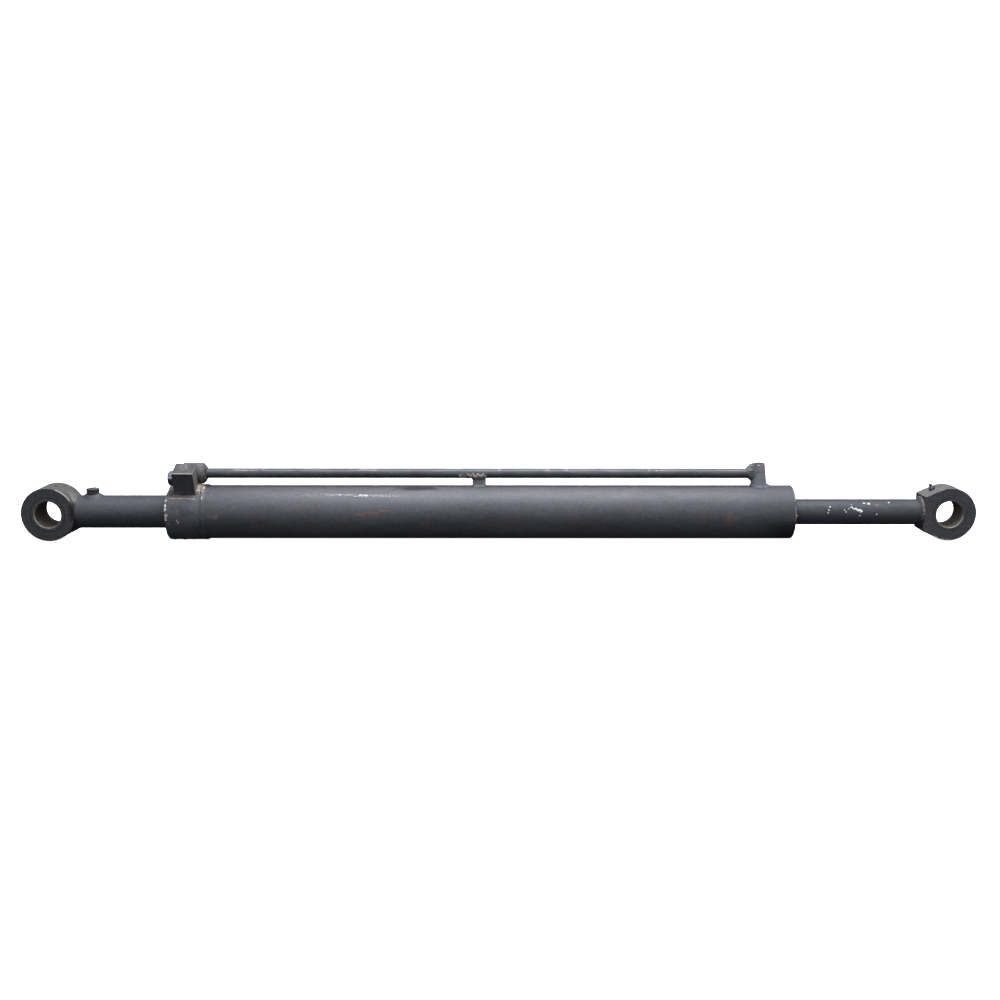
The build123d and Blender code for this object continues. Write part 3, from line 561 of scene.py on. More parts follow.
def right_rod_chips(g):
    """White paint chips and a rust spot, placed from the barrel's right end."""
    chips = ovals(
        g, RIGHT_ROD_R, BARREL_END,
        ((47, 6, 0.8, 0.9), (48.3, 19, 1.0, 0.9), (50, 34, 1.3, 1.0), (5.8, -6, 0.9, 0.8),
         (69.5, 19, 1.1, 0.7), (71.5, 10, 1.0, 0.9), (75, 24, 0.9, 0.6), (79.5, 44, 0.7, 0.6),
         (97, 53, 1.8, 0.9), (103, 50, 2.2, 1.5), (131, 57, 1.4, 0.9), (113, 0, 1.0, 0.8),
         (90, -6, 1.6, 0.6)), ragged=0.35, grain=1.6)
    streak = ovals(
        g, RIGHT_ROD_R, BARREL_END,
        ((79.5, 31, 2.4, 0.8), (83.5, 25, 3.0, 1.1), (88.5, 19, 3.8, 1.9), (91.5, 15, 2.3, 2.2)),
        ragged=0.5, grain=1.8)
    rust = g.on_bar(RIGHT_ROD_R, BARREL_END + 114, 42, 3.0, 2.2, ragged=0.8, grain=2)
    return [(g.both(rust, 0.7), RUST), (g.either(*chips, *streak), CHIP_WHITE)]


def block_wear(g):
    """Faint scrapes on top of the block, bare top edge at the front, dirt low on its sides, and painted light
    on its right face.
    """
    leaning = [g.vector("DOT_PRODUCT", g.place, tuple(row)) for row in HEAD.inverted()]
    top = g.step(leaning[2], (BLOCK_HIGH.z - 1.0) * MM, (BLOCK_HIGH.z - 0.5) * MM)
    front = g.step(leaning[1], (BLOCK_LOW.y + 1.5) * MM, (BLOCK_LOW.y + 0.8) * MM)
    edge = g.both(top, front, g.patches(0.28, 0.44, 6, 3))
    patch_at = HEAD @ Vector((BLOCK_LOW.x + 13, 4, BLOCK_HIGH.z))
    patch = g.both(top, g.spot(patch_at, (8, 8, 6), ragged=0.5, grain=5),
                   g.patches(0.50, 0.62, 2.2, 4))
    # painted light: the block's right face is made lighter all over
    right = g.both(g.step(leaning[0], (BLOCK_HIGH.x - 0.6) * MM, (BLOCK_HIGH.x - 0.2) * MM),
                   g.plus(0.35, g.both(g.noise(5, 3), 0.6)))
    low = g.both(g.step(leaning[2], (BLOCK_LOW.z + 9) * MM, (BLOCK_LOW.z + 3) * MM),
                 g.patches(0.42, 0.62, 4, 3))
    # the light colour on the right face is painted light
    return [(g.both(low, 0.4), TAN), (right, (0.25, 0.232, 0.196)),
            (g.both(patch, 0.45), CREAM), (g.both(edge, 0.8), CREAM)]


def socket_wear(g):
    """Dusty patches that also paint the socket's sheen, and tan towards the pipe."""
    end = g.step(g.at(0), (SOCKET_END - 6) * MM, (SOCKET_END - 2) * MM)
    # pale patches: dust, and also painted sheen
    shine = g.both(g.patches(0.42, 0.66, 7, 3), 0.5)
    return [(shine, DUST), (g.both(end, g.patches(0.42, 0.62, 4, 3), 0.5), TAN)]


def pipe_wear(g):
    """Scraped spots along the pipe's top, placed from its left end, with a painted highlight along its upper
    side and painted shade under it.
    """
    up = g.up()
    # painted highlight: a pale streaky band on the pipe's upper side
    crown = g.both(g.step(up, 0.45, 0.62), g.step(up, 0.92, 0.82),
                   g.patches(0.48, 0.62, 1.6, 3, (20, 1, 1)))
    x = PIPE_LOW.x
    spots = [g.on_bar(PIPE_R, x + at, up, length, 0.55, z=PIPE_Z, ragged=0.4, grain=1.6)
             for at, up, length in ((55, 50, 9), (63, 46, 4), (226, 52, 8), (238, 50, 5),
                                    (408, 50, 2.5), (473, 48, 3), (499, 50, 3), (611, 48, 1.6),
                                    (621, 40, 1.0), (629, 44, 1.2), (88, 50, 2))]
    black = g.both(g.step(up, 0.86, 0.97), g.patches(0.30, 0.55, 5, 2, (12, 1, 1)))
    stains = g.both(g.patches(0.50, 0.62, 6, 3, (5, 1, 1)), 0.35)
    # painted shade on the pipe's underside
    underside_shade = g.both(g.step(up, -0.15, -0.6), 0.6)
    return [(stains, shade(PAINT, 0.4)), (g.both(black, 0.75), SOOT_AND_SHADE),
            # painted highlight along the upper side
            (g.both(crown, 0.65), shade(DUST, 1.4)),
            (g.both(g.either(*spots), 0.7), CREAM), (underside_shade, SOOT_AND_SHADE)]


def port_wear(g):
    """Pale top face on the left rod's port, and a brown bore."""
    top = g.both(g.step(g.up(), 0.90, 0.97), g.patches(0.30, 0.50, 3, 3))
    offset = g.vector("MULTIPLY", g.vector("SUBTRACT", g.place, (PORT_X * MM, 0, 0)), (1, 1, 0))
    from_axis = g.vector("LENGTH", offset)
    bore = g.step(from_axis, 0.62 * PORT_R * MM, 0.56 * PORT_R * MM)
    return [(g.both(top, 0.85), shade(DUST, 2.0)), (bore, BROWN)]


def from_pin(g, x):
    """Distance from the axis of the pin at x."""
    offset = g.vector("SUBTRACT", g.place, (x * MM, 0, 0))
    return g.vector("LENGTH", g.vector("MULTIPLY", offset, (1, 0, 1)))


def seam_ring(g, x):
    """Dark line where the bushing meets the eye, plainer on the left."""
    depth = 0.75 if x == 0 else 0.35
    reach = g.math("ABSOLUTE", g.math("SUBTRACT", from_pin(g, x), BUSHING_R * MM))
    return g.both(g.step(reach, 1.0 * MM, 0.4 * MM), depth)


def eye_wear(pin_x, half_width, dusty, rims, strip, hollow_shade, low_corner):
    """Dusty upper faces, pale specks on the flat faces, bare patches on a strip of the front rim, and painted
    shade in the hollow beside the rod."""
    def wear(g):
        up = g.up()
        dust = g.both(g.step(up, 0.2, 0.8), g.patches(0.25, 0.60, 8, 4), dusty)
        speck_zone = g.patches(0.46, 0.56, 16, 2)
        specks = g.both(g.patches(0.70, 0.73, 1.7, 1), speck_zone)
        scratch = g.both(g.patches(0.62, 0.70, 1.2, 2, (6, 1, 1)), 0.25)
        marks = []
        for elevation, half in rims:
            angle = math.radians(elevation)
            at = (pin_x + LEFT_EYE_R * math.cos(angle), -half_width, LEFT_EYE_R * math.sin(angle))
            marks.append(g.spot(at, (half, 3, half), ragged=0.3, grain=2.5))
        front = g.step(g.at(1), (1.5 - half_width) * MM, (1.1 - half_width) * MM)
        outer = g.step(from_pin(g, pin_x), (LEFT_EYE_R - strip - 0.6) * MM, (LEFT_EYE_R - strip) * MM)
        # painted shade in the hollow beside the rod; its strength is the given share
        shaded_hollow = g.spot((36, 4 - half_width, 1), (8, 9, 17), ragged=0.2, grain=8, soft=0.4)
        bare = g.both(g.either(*marks), front, outer)
        dirt = g.both(g.spot(low_corner, (13, 6, 22), ragged=0.7, grain=4),
                      g.patches(0.46, 0.66, 2.4, 3))
        return [(dust, DUST), (scratch, DUST), (g.both(dirt, 0.28), TAN),
                # painted shade in the hollow beside the rod
                (g.both(shaded_hollow, hollow_shade), SOOT_AND_SHADE),
                (seam_ring(g, pin_x), SOOT_AND_SHADE), (g.both(specks, 0.7), CREAM),
                (g.both(bare, 0.75), CREAM)]
    return wear


# ---- other finishes
def seam_wear(g):
    """Pale flakes on the seam bead just in front of the block."""
    flaked = g.on_bar(BARREL_R + 1, BARREL_START - 2.5, 62, 2.8, 8, ragged=0.9, grain=3)
    fleck = g.on_bar(BARREL_R + 1, BARREL_START - 0.5, 40, 0.9, 3.0, ragged=0.8, grain=2)
    return [(g.both(flaked, g.patches(0.44, 0.56, 2.4, 3)), CREAM),
            (g.both(fleck, 0.8), CREAM)]


def weld_finish(name, flaked, flake=CREAM, under=TAN, tone=PAINT, zone=None):
    """Painted weld that shows tan and pale where its paint has flaked; zone(graph) limits that."""
    g = Graph(name)
    base = g.mix(g.patches(0.35, 0.7, 6, 3), shade(tone, 0.8), shade(tone, 1.5))
    tan = g.step(g.noise(3.0, 4), 0.66 - 0.30 * flaked, 0.74 - 0.22 * flaked)
    pale = g.step(g.noise(2.1, 4), 0.72 - 0.26 * flaked, 0.78 - 0.20 * flaked)
    if zone:
        limit = zone(g)
        tan, pale = g.both(tan, limit), g.both(pale, limit)
    colour = g.mix(pale, g.mix(tan, base, under), flake)
    pits = g.patches(0.42, 0.30, 1.4, 3)
    colour = g.mix(g.both(pits, 0.5), colour, SOOT_AND_SHADE)
    rough = g.plus(0.5, g.both(pale, 0.3))
    g.bump(g.noise(1.1, 4), 0.10, 0.6)
    return g.finish(colour, rough)


def near_eye_face(g):
    """The last strip of weld before the right eye's squared end, on its upper side."""
    x = g.at(0)
    height = g.at(2)
    strip = g.step(x, (EYE_FACE_X - 1.9) * MM, (EYE_FACE_X - 1.0) * MM)
    return g.both(strip, g.step(height, -8 * MM, 2 * MM))


def bore_steel(name, half_width, pin_x, tone=1.0):
    """Bored steel gone brown, pale dirt on the chamfered mouths, painted end rings."""
    g = Graph(name)
    rings = g.noise(0.7, 2, (1, 0.25, 1))
    brown = g.mix(g.patches(0.35, 0.7, 5, 4), shade((0.068, 0.057, 0.044), tone),
                  shade((0.168, 0.136, 0.100), tone))
    colour = g.mix(g.both(g.step(rings, 0.5, 0.7), 0.4), brown, (0.16, 0.13, 0.10))
    y = g.math("ABSOLUTE", g.at(1))
    mouth = g.step(y, (half_width - 1.0) * MM, (half_width - 0.7) * MM)
    face = g.step(y, (half_width - 0.06) * MM, (half_width - 0.02) * MM)
    dirty = g.mix(g.patches(0.38, 0.62, 5, 3), (0.11, 0.098, 0.078), (0.30, 0.27, 0.22))
    colour = g.mix(mouth, colour, dirty)
    ring = g.mix(g.patches(0.35, 0.65, 6, 3), shade(EYE_PAINT, 0.8), shade(EYE_PAINT, 1.5))
    colour = g.mix(face, colour, ring)
    colour = g.mix(g.both(face, seam_ring(g, pin_x)), colour, SOOT_AND_SHADE)
    g.bump(rings, 0.04, 0.6)
    return g.finish(colour, g.plus(0.45, g.both(g.noise(5, 3), 0.25)))


def plated(name, tone, dirt, roughness=0.32, shade_below_z=None):
    """Worn plating: bright metal under patches of dirt; below a given height it is blackened with painted
    shade.
    """
    g = Graph(name, metallic=0.85)
    dirty = g.patches(0.46, 0.60, 3.2, 4)
    colour = g.mix(g.both(dirty, dirt), tone, (0.03, 0.03, 0.034))
    colour = g.mix(g.both(g.edges(0.7), 0.5), colour, shade(tone, 1.5))
    if shade_below_z is not None:
        # painted shade: the plating goes black below the given height
        plug_shade = g.step(g.at(2), (shade_below_z + 1.5) * MM, (shade_below_z - 1.5) * MM)
        colour = g.mix(g.both(plug_shade, 0.92), colour, SOOT_AND_SHADE)
    g.bump(g.noise(1.0, 3), 0.03, 0.5)
    return g.finish(colour, g.plus(roughness, g.both(dirty, 0.3)))


def machined(name, tone, roughness=0.34):
    """Turned or ground metal: fine lines round the X axis, faint stains."""
    g = Graph(name, metallic=1.0)
    lines = g.noise(0.35, 2, (1, 60, 60))
    colour = g.mix(g.step(lines, 0.4, 0.7), shade(tone, 0.82), shade(tone, 1.1))
    colour = g.mix(g.both(g.patches(0.5, 0.7, 9, 4), 0.35), colour, shade(tone, 0.5))
    g.bump(lines, 0.02, 0.4)
    return g.finish(colour, g.plus(roughness, g.both(g.noise(5, 3), 0.15)))


def moulded(name, tone, roughness=0.6, fleck=None):
    """Moulded rubber or plastic with a faint grain."""
    g = Graph(name)
    colour = g.mix(g.patches(0.35, 0.7, 4, 3), shade(tone, 0.8), shade(tone, 1.2))
    if fleck:
        colour = g.mix(g.patches(0.62, 0.7, 0.6, 2), colour, fleck)
    g.bump(g.noise(0.5, 3), 0.03, 0.5)
    return g.finish(colour, g.plus(roughness, g.both(g.noise(3, 2), 0.12)))


MATERIALS = {
    "barrel": paint("barrel_paint", wear=barrel_wear, dusty=0.12, grain=0.5),
    "collar": paint("collar_paint", wear=collar_wear, worn=0.6),
    "block": paint("block_paint", tone=shade(EYE_PAINT, 1.1), wear=block_wear, worn=0.8,
                   streak=(1, 1, 1), grain=1.0),
    "socket": paint("socket_paint", wear=socket_wear, streak=(1, 4, 4)),
    "pipe": paint("pipe_paint", tone=shade(PAINT, 1.1), wear=pipe_wear, dusty=0.1, streak=(24, 1, 1)),
    # the stand-off's light grey tone is partly painted light on its front face
    "standoff": paint("standoff_paint", tone=shade(BOSS_PAINT_AND_LIGHT, 0.85), streak=(1, 1, 1), grain=0.8),
    "boss_cap": paint("boss_cap_paint", tone=shade(PAINT, 0.8), dusty=0.0, worn=0.0, streak=(1, 1, 1),
                      gloss=0.2),
    # the boss's light tone is partly painted light
    "boss": paint("boss_paint", tone=BOSS_PAINT_AND_LIGHT, streak=(1, 1, 4), dusty=0.3),
    "boss_foot": paint("boss_foot_paint", tone=shade(PAINT, 1.9), dusty=0.1, worn=0.2, streak=(1, 1, 1),
                       gloss=0.3),
    "left_rod": paint("left_rod_paint", tone=ROD_PAINT, dusty=0.05, gloss=0.36, grain=0.55,
                      bare=(COLLAR_START + 1, COLLAR_START + 3)),
    "right_rod": paint("right_rod_paint", tone=ROD_PAINT, wear=right_rod_chips, dusty=0.05, gloss=0.42,
                       bare=(BARREL_END, BARREL_END - 2)),
    "port": paint("port_paint", tone=shade(EYE_PAINT, 0.7), wear=port_wear, dusty=0.2, worn=0.9,
                  streak=(1, 1, 1), gloss=0.35),
    # the left eye gets painted shade in the hollow beside its rod (0.75), the right eye none
    "left_eye": paint(
        "left_eye_paint", tone=shade(EYE_PAINT, 0.85), streak=(1, 1, 1), gloss=0.4, grain=0.9,
        wear=eye_wear(0, LEFT_EYE_HALF, 0.55, ((66, 2.5), (55, 4.0), (46, 3), (36, 3)), 0.7,
                      0.75, (33, -19, 4))),
    "right_eye": paint(
        "right_eye_paint", tone=shade(EYE_PAINT, 1.1), streak=(1, 1, 1), grain=1.0,
        wear=eye_wear(RIGHT_PIN_X, RIGHT_EYE_HALF, 0.95, ((-92, 4), (-103, 3), (-118, 3)), 2.2,
                      0.0, (EYE_FACE_X + 8, -RIGHT_EYE_HALF, 2))),
    "left_bushing": bore_steel("left_bushing_steel", LEFT_EYE_HALF, 0),
    "right_bushing": bore_steel("right_bushing_steel", RIGHT_EYE_HALF, RIGHT_PIN_X, 1.4),
    # the last number is the height below which the plug gets painted shade
    "plug": plated("plug_steel", (0.62, 0.66, 0.78), 0.85, 0.2, PLUG_Z + 1),
    "nipple": plated("nipple_steel", (0.12, 0.13, 0.17), 0.7, 0.4),
    "gland": machined("gland_iron", (0.20, 0.20, 0.21), roughness=0.42),
    "piston": machined("piston_iron", (0.30, 0.30, 0.31), roughness=0.38),
    "nut": machined("nut_steel", (0.42, 0.42, 0.43)),
    "guide": machined("guide_bronze", (0.62, 0.40, 0.18), roughness=0.3),
    "o_ring": moulded("o_ring_rubber", (0.014, 0.014, 0.015)),
    "wiper": moulded("wiper_rubber", (0.02, 0.02, 0.024), 0.5),
    "seal": moulded("seal_polyurethane", (0.05, 0.17, 0.30), 0.35),
    "wear_ring": moulded("wear_ring_plastic", (0.36, 0.13, 0.07), 0.5, (0.55, 0.30, 0.18)),
}

FINISH_OF_PAIR = {  # parts that are on both sides
    "gland": "gland", "gland_o_ring": "o_ring", "rod_wiper": "wiper", "rod_seal": "seal",
    "rod_guide": "guide", "wear_rings": "wear_ring", "piston_seal": "seal", "piston": "piston",
    "piston_o_ring": "o_ring", "piston_nut": "nut",
}
FINISH_OF_NODE = {
    "barrel_tube": "barrel", "left_head_collar": "collar", "port_block": "block",
    "pipe_socket": "socket", "transfer_pipe": "pipe", "pipe_standoff": "standoff",
    "right_port_boss": "boss", "port_plug": "plug", "port_plug_washer": "nut",
    "left_rod": "left_rod", "right_rod": "right_rod", "left_eye": "left_eye",
    "right_eye": "right_eye", "left_oil_port_boss": "port", "grease_nipple": "nipple",
    "left_eye_bushing": "left_bushing", "right_eye_bushing": "right_bushing",
    **{f"{side}_{part}": finish for part, finish in FINISH_OF_PAIR.items()
       for side in ("left", "right")},
}

for name, finish in FINISH_OF_NODE.items():
    NODES[name].data.materials.clear()
    NODES[name].data.materials.append(MATERIALS[finish])


# ---- weld beads
SECTION = 12  # strips across a bead
SINK = 0.15  # how far a bead's toes lie under the surfaces they meet


def make_mesh(name, body, material, verts, faces):
    """New piece from points in millimetres, on one body."""
    mesh = bpy.data.meshes.new(name)
    mesh.from_pydata([v * MM for v in verts], [], faces)
    mesh.validate()
    mesh.materials.append(material)
    for face in mesh.polygons:
        face.use_smooth = True
    piece = bpy.data.objects.new(name, mesh)
    SCENE.collection.objects.link(piece)
    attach(piece, body)
    return piece


def bead_rows(toes, steps, closed, pitch, crown, ripple, lump, taper, seed):
    """Rows of points across a bead. toes(u) gives both toes and the buried root at a share u."""
    count = steps if closed else steps + 1
    stations = [toes(i / steps) for i in range(count)]
    middles = [(first + second) / 2 for first, second, _ in stations]
    runs = [0.0]
    for i in range(1, count):
        runs.append(runs[-1] + (middles[i] - middles[i - 1]).length)
    total = runs[-1] + ((middles[0] - middles[-1]).length if closed else 0)
    waves = max(1, round(total / pitch))
    shift = Vector((seed * 7.3, seed * 3.1, seed * 5.7))
    rows = []
    for i, (first, second, root) in enumerate(stations):
        across = second - first
        out = middles[i] - root
        out -= out.project(across)
        out.normalize()
        sway = noise.noise(middles[i] * 0.16 + shift) * lump * 0.8
        first = first - across.normalized() * sway
        second = second + across.normalized() * noise.noise(middles[i] * 0.2 - shift) * lump
        across = second - first
        share = runs[i] / total
        end = 1.0 if closed else min(1.0, min(share, 1 - share) * total / taper)
        size = 0.12 + 0.88 * math.sqrt(end * (2 - end))
        row = []
        for k in range(SECTION + 1):
            t = k / SECTION
            arch = 4 * t * (1 - t)
            phase = share * waves + 0.45 * arch
            fresh = phase - math.floor(phase)
            swell = noise.noise(middles[i] * 0.22 + shift + Vector((0, 0, t))) * lump
            height = arch * (crown + swell) + ripple * math.sqrt(arch) * (1 - fresh) ** 1.5 - SINK
            point = first + across * t + out * height
            row.append(root + (point - root) * size)
        row.append(root)
        rows.append(row)
    return rows


def weld_bead(name, body, material, toes, steps, closed=False, pitch=2.6, crown=0.9, ripple=0.45,
              lump=0.5, taper=4.0, seed=1, replaced=()):
    rows = bead_rows(toes, steps, closed, pitch, crown, ripple, lump, taper, seed)
    width = len(rows[0])
    verts = [point for row in rows for point in row]
    faces = []
    for i in range(len(rows) if closed else len(rows) - 1):
        here, there = i * width, (i + 1) % len(rows) * width
        for k in range(width):
            after = (k + 1) % width
            faces.append((here + k, here + after, there + after, there + k))
    if not closed:
        faces.append(tuple(reversed(range(width))))
        faces.append(tuple(range(len(verts) - width, len(verts))))
    piece = make_mesh(name, body, material, verts, faces)
    if replaced:
        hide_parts(*replaced)


def about_x(x, radius, angle, z=0.0):
    """Point on a circle round a bar along X."""
    return Vector((x, radius * math.cos(angle), z + radius * math.sin(angle)))


def ring_toes(first, second, root, z=0.0):
    """Toes of a bead all round a bar along X; each argument is (x, radius)."""
    def toes(u):
        angle = 2 * math.pi * u
        return tuple(about_x(x, radius, angle, z=z) for x, radius in (first, second, root))
    return toes


def saddle_toes(pivot, lean, boss_r, tube_r, rise, reach):
    """Bead where a leaning boss stands on a tube. reach(angle) is its width on the tube."""
    along = Vector((math.cos(lean), 0, math.sin(lean)))
    up = Vector((-math.sin(lean), 0, math.cos(lean)))

    def on_tube(angle, radius, sink):
        flat = pivot + along * radius * math.cos(angle) + Vector((0, radius * math.sin(angle), 0))
        height = (math.sqrt((tube_r - sink) ** 2 - flat.y ** 2) - flat.z) / up.z
        return flat + up * height

    def toes(u):
        angle = 2 * math.pi * u
        corner = on_tube(angle, boss_r, 0)
        return corner + up * rise, on_tube(angle, boss_r + reach(angle), 0), on_tube(angle, boss_r - 1.5, 1.5)
    return toes


def lengthwise_toes(start, end, first, second, root):
    """Toes of a straight bead along X; the others are (y, z)."""
    def toes(u):
        x = start + (end - start) * u
        return tuple(Vector((x, *place)) for place in (first, second, root))
    return toes


def block_foot_toes(leg, rise):
    """Toes round the foot of the block, in order from the middle of its right side."""
    corner_r = 1.0
    half_x = (BLOCK_HIGH.x - BLOCK_LOW.x) / 2
    half_y = (BLOCK_HIGH.y - BLOCK_LOW.y) / 2
    centre = Vector(((BLOCK_HIGH.x + BLOCK_LOW.x) / 2, (BLOCK_HIGH.y + BLOCK_LOW.y) / 2, FLAT_HEIGHT))
    straight_x, straight_y = half_x - corner_r, half_y - corner_r
    bend = math.pi / 2 * (corner_r + leg)

    def walk(distance):
        """Core point and outward direction at a distance along the bead's outer line."""
        runs = ((2 * straight_y, 0), (2 * straight_x, 90), (2 * straight_y, 180), (2 * straight_x, 270))
        corners = ((1, 1), (-1, 1), (-1, -1), (1, -1))
        distance = (distance + straight_y) % (2 * (2 * straight_x + 2 * straight_y) + 4 * bend)
        for (length, heading), (sx, sy) in zip(runs, corners):
            facing = math.radians(heading)
            corner = Vector((sx * straight_x, sy * straight_y, 0))
            if distance < length:
                back = Vector((-math.sin(facing), math.cos(facing), 0)) * (length - distance)
                return corner - back, facing
            distance -= length
            if distance < bend:
                return corner, facing + math.pi / 2 * distance / bend
            distance -= bend
        return Vector((straight_x, -straight_y, 0)), 0.0

    total = 4 * (straight_x + straight_y) + 4 * bend

    def toes(u):
        core, facing = walk(u * total)
        outward = Vector((math.cos(facing), math.sin(facing), 0))
        wall = centre + core + outward * corner_r
        up = Vector((0, 0, 1))
        return tuple(HEAD @ p for p in (wall + up * rise, wall + outward * leg, wall - outward - up * 0.8))
    return toes


def block_side_toes(u):
    """Fat weld that fills the pocket between the block's right face and the head's rim."""
    front, back = -15.5, 13.5
    y = front + (back - front) * u
    top = FLAT_HEIGHT + 6.5 + 2.5 * math.sin(math.pi * u)
    spill = COLLAR_R - 0.1
    reach = 5.5 + 3.5 * math.sin(math.pi * min(1, u * 1.15))
    first = Vector((BLOCK_HIGH.x - 0.1, max(y, BLOCK_LOW.y + 0.6), top))
    second = Vector((BLOCK_HIGH.x + reach + 2.0, y, math.sqrt(spill ** 2 - y ** 2)))
    root = Vector((BLOCK_HIGH.x - 0.5, y, FLAT_HEIGHT - 2.0))
    return HEAD @ first, HEAD @ second, HEAD @ root


BOSS_TOP_X = BOSS_LOW.x + BOSS_R * math.cos(BOSS_LEAN)
BOSS_TOP_Z = BOSS_HIGH.z - BOSS_R * math.sin(BOSS_LEAN)


def boss_axis_x(z):
    """Where the leaning boss's axis is at height z."""
    return BOSS_TOP_X + (BOSS_TOP_Z - z) * math.tan(BOSS_LEAN)


def boss_pipe_toes(u):
    """Fat cone of weld from the pipe to the side of the right boss."""
    angle = 2 * math.pi * u
    wide = BOSS_R + 0.7
    y = max(-BOSS_R + 0.8, min(BOSS_R - 0.8, wide * math.cos(angle)))
    z = PIPE_Z + wide * math.sin(angle)
    x = boss_axis_x(z) - math.sqrt(BOSS_R ** 2 - y ** 2)
    first = Vector((x + 0.6, y, z))
    second = about_x(BOSS_LOW.x - 3.4 - 1.6 * math.sin(angle), PIPE_R - 0.1, angle, z=PIPE_Z)
    root = about_x(boss_axis_x(PIPE_Z) - BOSS_R + 2.5, 4.5, angle, z=PIPE_Z)
    return first, second, root


def boss_reach(angle):
    """Width of the boss's foot weld on the barrel, wider towards the right end."""
    return 3.2 + 1.4 * math.cos(angle) - 0.8 * math.sin(angle) ** 2


def port_reach(angle):
    """Width of the oil port's foot weld on the left rod."""
    return 5.8 + 1.2 * math.cos(angle)


def standoff_side(side):
    """Foot bead and pipe bead on one side of the stand-off."""
    face = STANDOFF_HIGH.y * side
    past_left = 21 if side < 0 else 2    # how far the patch runs past the stand-off's ends
    past_right = 2
    start, end = STANDOFF_LOW.x + 0.3, STANDOFF_HIGH.x - 0.3
    toe = abs(face) + 3.6
    foot = lengthwise_toes(
        start, end, (face, math.sqrt(BARREL_R ** 2 - face ** 2) + 2.8),
        (toe * side, math.sqrt(BARREL_R ** 2 - toe ** 2)), (face * 0.8, BARREL_R - 3))
    pipe_bottom = math.radians(-68)

    def saddle(u):
        """Patch on the lower side of the pipe that runs down on to the stand-off."""
        x = start - past_left + (end - start + past_left + past_right) * u
        held = max(0.0, min(1.0, (x - start + 3) / 4))
        high = math.radians(4 + 9 * math.sin(x * 0.9))
        first = Vector((x, PIPE_R * math.cos(high) * side, PIPE_Z + PIPE_R * math.sin(high)))
        on_pipe = Vector((x, PIPE_R * math.cos(pipe_bottom) * side, PIPE_Z + PIPE_R * math.sin(pipe_bottom)))
        on_post = Vector((x, face, STANDOFF_HIGH.z - 4.2))
        return first, on_pipe.lerp(on_post, held), Vector((x, 2.0 * side, PIPE_Z - 2.0))
    return foot, saddle


WORN_WELD = weld_finish("worn_weld", 0.45)
DULL_WELD = weld_finish("dull_weld", 0.6, flake=shade(DUST, 1.5), under=(0.13, 0.12, 0.10),
                        tone=shade(PAINT, 1.6))
SADDLE_WELD = weld_finish("saddle_weld", 0.75, flake=shade(CREAM, 0.55), under=shade(TAN, 0.8))
PALE_WELD = weld_finish("pale_weld", 0.85)
FOOT_WELD = weld_finish("block_foot_weld", 0.6, flake=shade(TAN, 1.2), under=shade(TAN, 0.6))
EYE_WELD = weld_finish("right_eye_weld", 0.65, under=shade(TAN, 0.8), tone=EYE_PAINT,
                       zone=near_eye_face)
SEAM_PAINT = paint("seam_paint", tone=shade(PAINT, 0.8), wear=seam_wear, dusty=0.1, worn=0.1,
                   streak=(1, 3, 3), gloss=0.42)

weld_bead("collar_seam_bead", "barrel", SEAM_PAINT,
          ring_toes((BARREL_START - 3.3, COLLAR_R), (BARREL_START + 3.9, BARREL_R),
                    (BARREL_START, BARREL_R - 3)),
          640, closed=True, pitch=4.0, crown=0.75, ripple=0.12, lump=0.35, seed=1,
          replaced=["collar_seam_weld"])
weld_bead("block_foot_bead", "barrel", FOOT_WELD, block_foot_toes(3.6, 1.9), 420, closed=True,
          pitch=2.6, crown=0.5, ripple=0.4, lump=0.5, seed=2, replaced=["block_weld"])
weld_bead("block_side_bead", "barrel", PALE_WELD, block_side_toes, 120, pitch=4.6, crown=0.8,
          ripple=0.7, lump=1.4, taper=5, seed=3)
weld_bead("socket_pipe_bead", "barrel", WORN_WELD,
          ring_toes((SOCKET_END - 0.1, SOCKET_R - 1.0), (SOCKET_END + 4.2, PIPE_R), (SOCKET_END - 1, 4.5),
                    z=PIPE_Z),
          260, closed=True, pitch=3.2, crown=0.5, ripple=0.5, lump=0.7, seed=4,
          replaced=["socket_pipe_weld"])
weld_bead("boss_pipe_bead", "barrel", DULL_WELD, boss_pipe_toes, 260, closed=True, pitch=3.6,
          crown=0.1, ripple=0.4, lump=0.8, seed=5, replaced=["boss_pipe_weld"])
weld_bead("boss_foot_bead", "barrel", MATERIALS["boss_foot"],
          saddle_toes(Vector((boss_axis_x(45.0), 0, 45.0)), BOSS_LEAN, BOSS_R, BARREL_R, 3.6, boss_reach),
          300, closed=True, pitch=3.4, crown=0.2, ripple=0.2, lump=0.5, seed=6,
          replaced=["boss_foot_weld"])
for side, word in ((-1, "front"), (1, "back")):
    foot, saddle = standoff_side(side)
    replaced = ["standoff_weld"] if side < 0 else ()
    weld_bead(f"standoff_foot_bead_{word}", "barrel", DULL_WELD, foot, 60, pitch=2.6, crown=0.6,
              lump=0.5, taper=2.5, seed=7 + side, replaced=replaced)
    weld_bead(f"standoff_pipe_bead_{word}", "barrel", SADDLE_WELD, saddle, 110, pitch=4.2, crown=2.6,
              ripple=0.6, lump=1.2, taper=5.0, seed=11 + side)
weld_bead("left_port_bead", "left_rod", MATERIALS["left_rod"],
          saddle_toes(Vector((PORT_X, 0, 30.0)), 0.0, PORT_R, LEFT_ROD_R, 3.4, port_reach),
          240, closed=True, pitch=3.4, crown=0.05, ripple=0.12, lump=0.3, seed=9,
          replaced=["left_port_weld"])
weld_bead("right_eye_bead", "right_rod", EYE_WELD,
          ring_toes((EYE_FACE_X + 0.1, RIGHT_ROD_R + 4.2), (EYE_FACE_X - 4.8, RIGHT_ROD_R),
                    (EYE_FACE_X + 0.8, RIGHT_ROD_R - 1)),
          340, closed=True, pitch=3.0, crown=0.3, ripple=0.25, lump=0.4, seed=10,
          replaced=["right_eye_weld"])


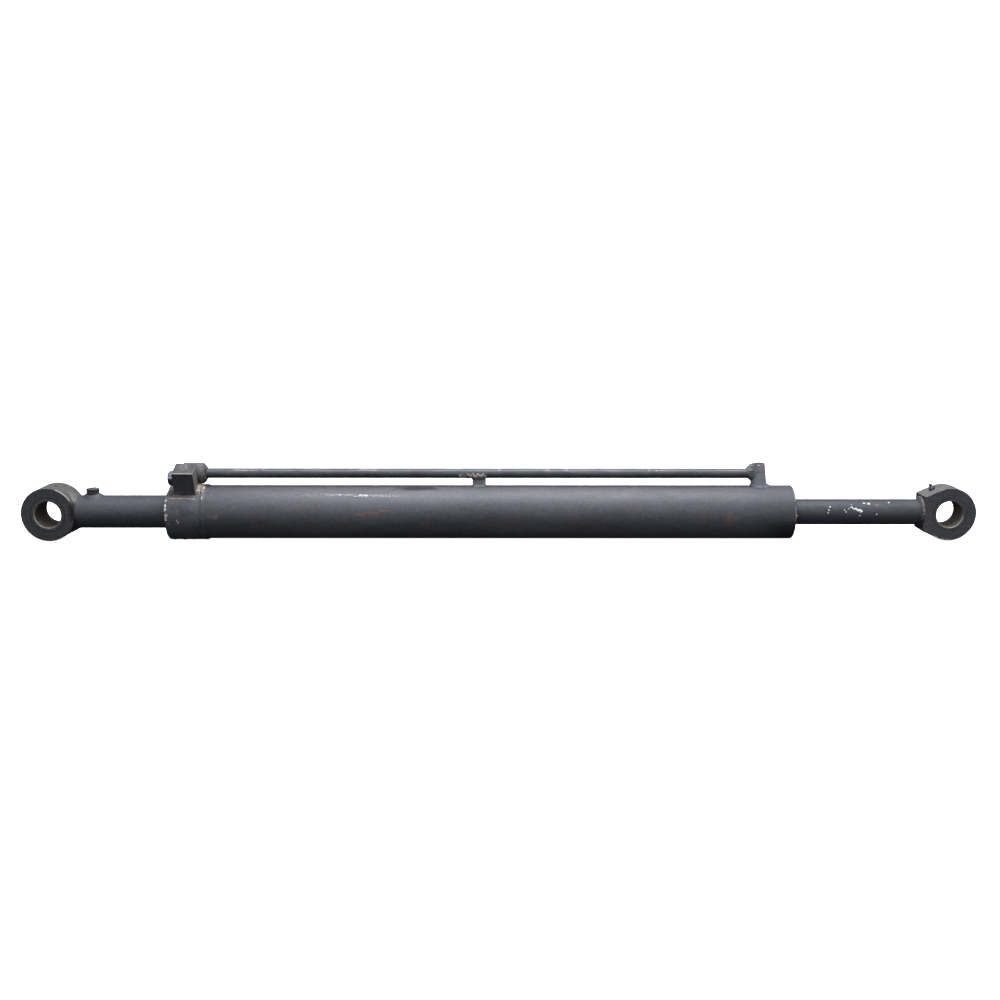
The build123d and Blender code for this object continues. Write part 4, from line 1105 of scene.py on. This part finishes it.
# ---- weld cap on the boss, spatter and paint drips
def dome(centre, up, radius, height, rough, seed):
    """Rounded lump that stands on a surface. Returns its points and faces."""
    rings, around = 7, 40
    up = up.normalized()
    along = Vector((1, 0, 0)) - up * up.x
    along.normalize()
    side = up.cross(along)
    shift = Vector((seed * 4.1, seed * 6.7, seed * 2.3))
    verts = [centre - up * 1.2, centre + up * (height + rough * noise.noise(shift))]
    for i in range(1, rings + 1):
        share = math.sin(math.pi / 2 * i / rings)
        for k in range(around):
            angle = 2 * math.pi * k / around
            way = along * math.cos(angle) + side * math.sin(angle)
            swell = rough * noise.noise(way * share * radius * 0.35 + shift)
            rise = (height + swell) * math.sqrt(max(0.0, 1 - share ** 2)) - (0.4 if i == rings else 0.0)
            verts.append(centre + way * radius * share * (1 + 0.12 * swell) + up * rise)
    faces = []
    for k in range(around):
        after = (k + 1) % around
        faces.append((1, 2 + k, 2 + after))
        faces.append((0, 2 + (rings - 1) * around + after, 2 + (rings - 1) * around + k))
        for i in range(rings - 1):
            here, there = 2 + i * around, 2 + (i + 1) * around
            faces.append((here + k, there + k, there + after, here + after))
    return verts, faces


def scatter(name, body, material, lumps):
    """One piece made of many domes; each lump is (centre, up, radius, height, rough, seed)."""
    verts, faces = [], []
    for lump in lumps:
        points, sides = dome(*lump)
        faces += [tuple(index + len(verts) for index in side) for side in sides]
        verts += points
    return make_mesh(name, body, material, verts, faces)


def on_tube(radius, x, elevation):
    """Point and outward direction on a bar, at an angle up from the side that faces -Y."""
    angle = math.radians(elevation)
    out = Vector((0, -math.cos(angle), math.sin(angle)))
    return Vector((x, 0, 0)) + out * radius, out


BOSS_AXIS = Vector((-math.sin(BOSS_LEAN), 0, math.cos(BOSS_LEAN)))
BOSS_TOP = Vector((BOSS_TOP_X, 0, BOSS_TOP_Z))
scatter("boss_top_cap", "barrel", MATERIALS["boss_cap"],
        [(BOSS_TOP - BOSS_AXIS * 0.2, BOSS_AXIS, BOSS_R - 0.3, 0.9, 1.3, 3)])

SPATTER_COUNT = 16
dice = random.Random(12)
spatter = []
for index in range(SPATTER_COUNT):
    size = dice.uniform(0.6, 1.5)
    place, out = on_tube(BARREL_R, BARREL_START + dice.uniform(4, 13), dice.uniform(48, 105))
    spatter.append((place, out, size, size * 0.5, 0.3, index))
scatter("weld_spatter", "barrel", WORN_WELD, spatter)

drips = []
for index, (at, size) in enumerate(((4.7, 1.5), (18.4, 1.7), (31, 1.2))):
    place, out = on_tube(COLLAR_R, COLLAR_START + at, -80)
    drips.append((place, out, size, size * 0.45, 0.2, index))
scatter("paint_drips", "barrel", MATERIALS["collar"], drips)
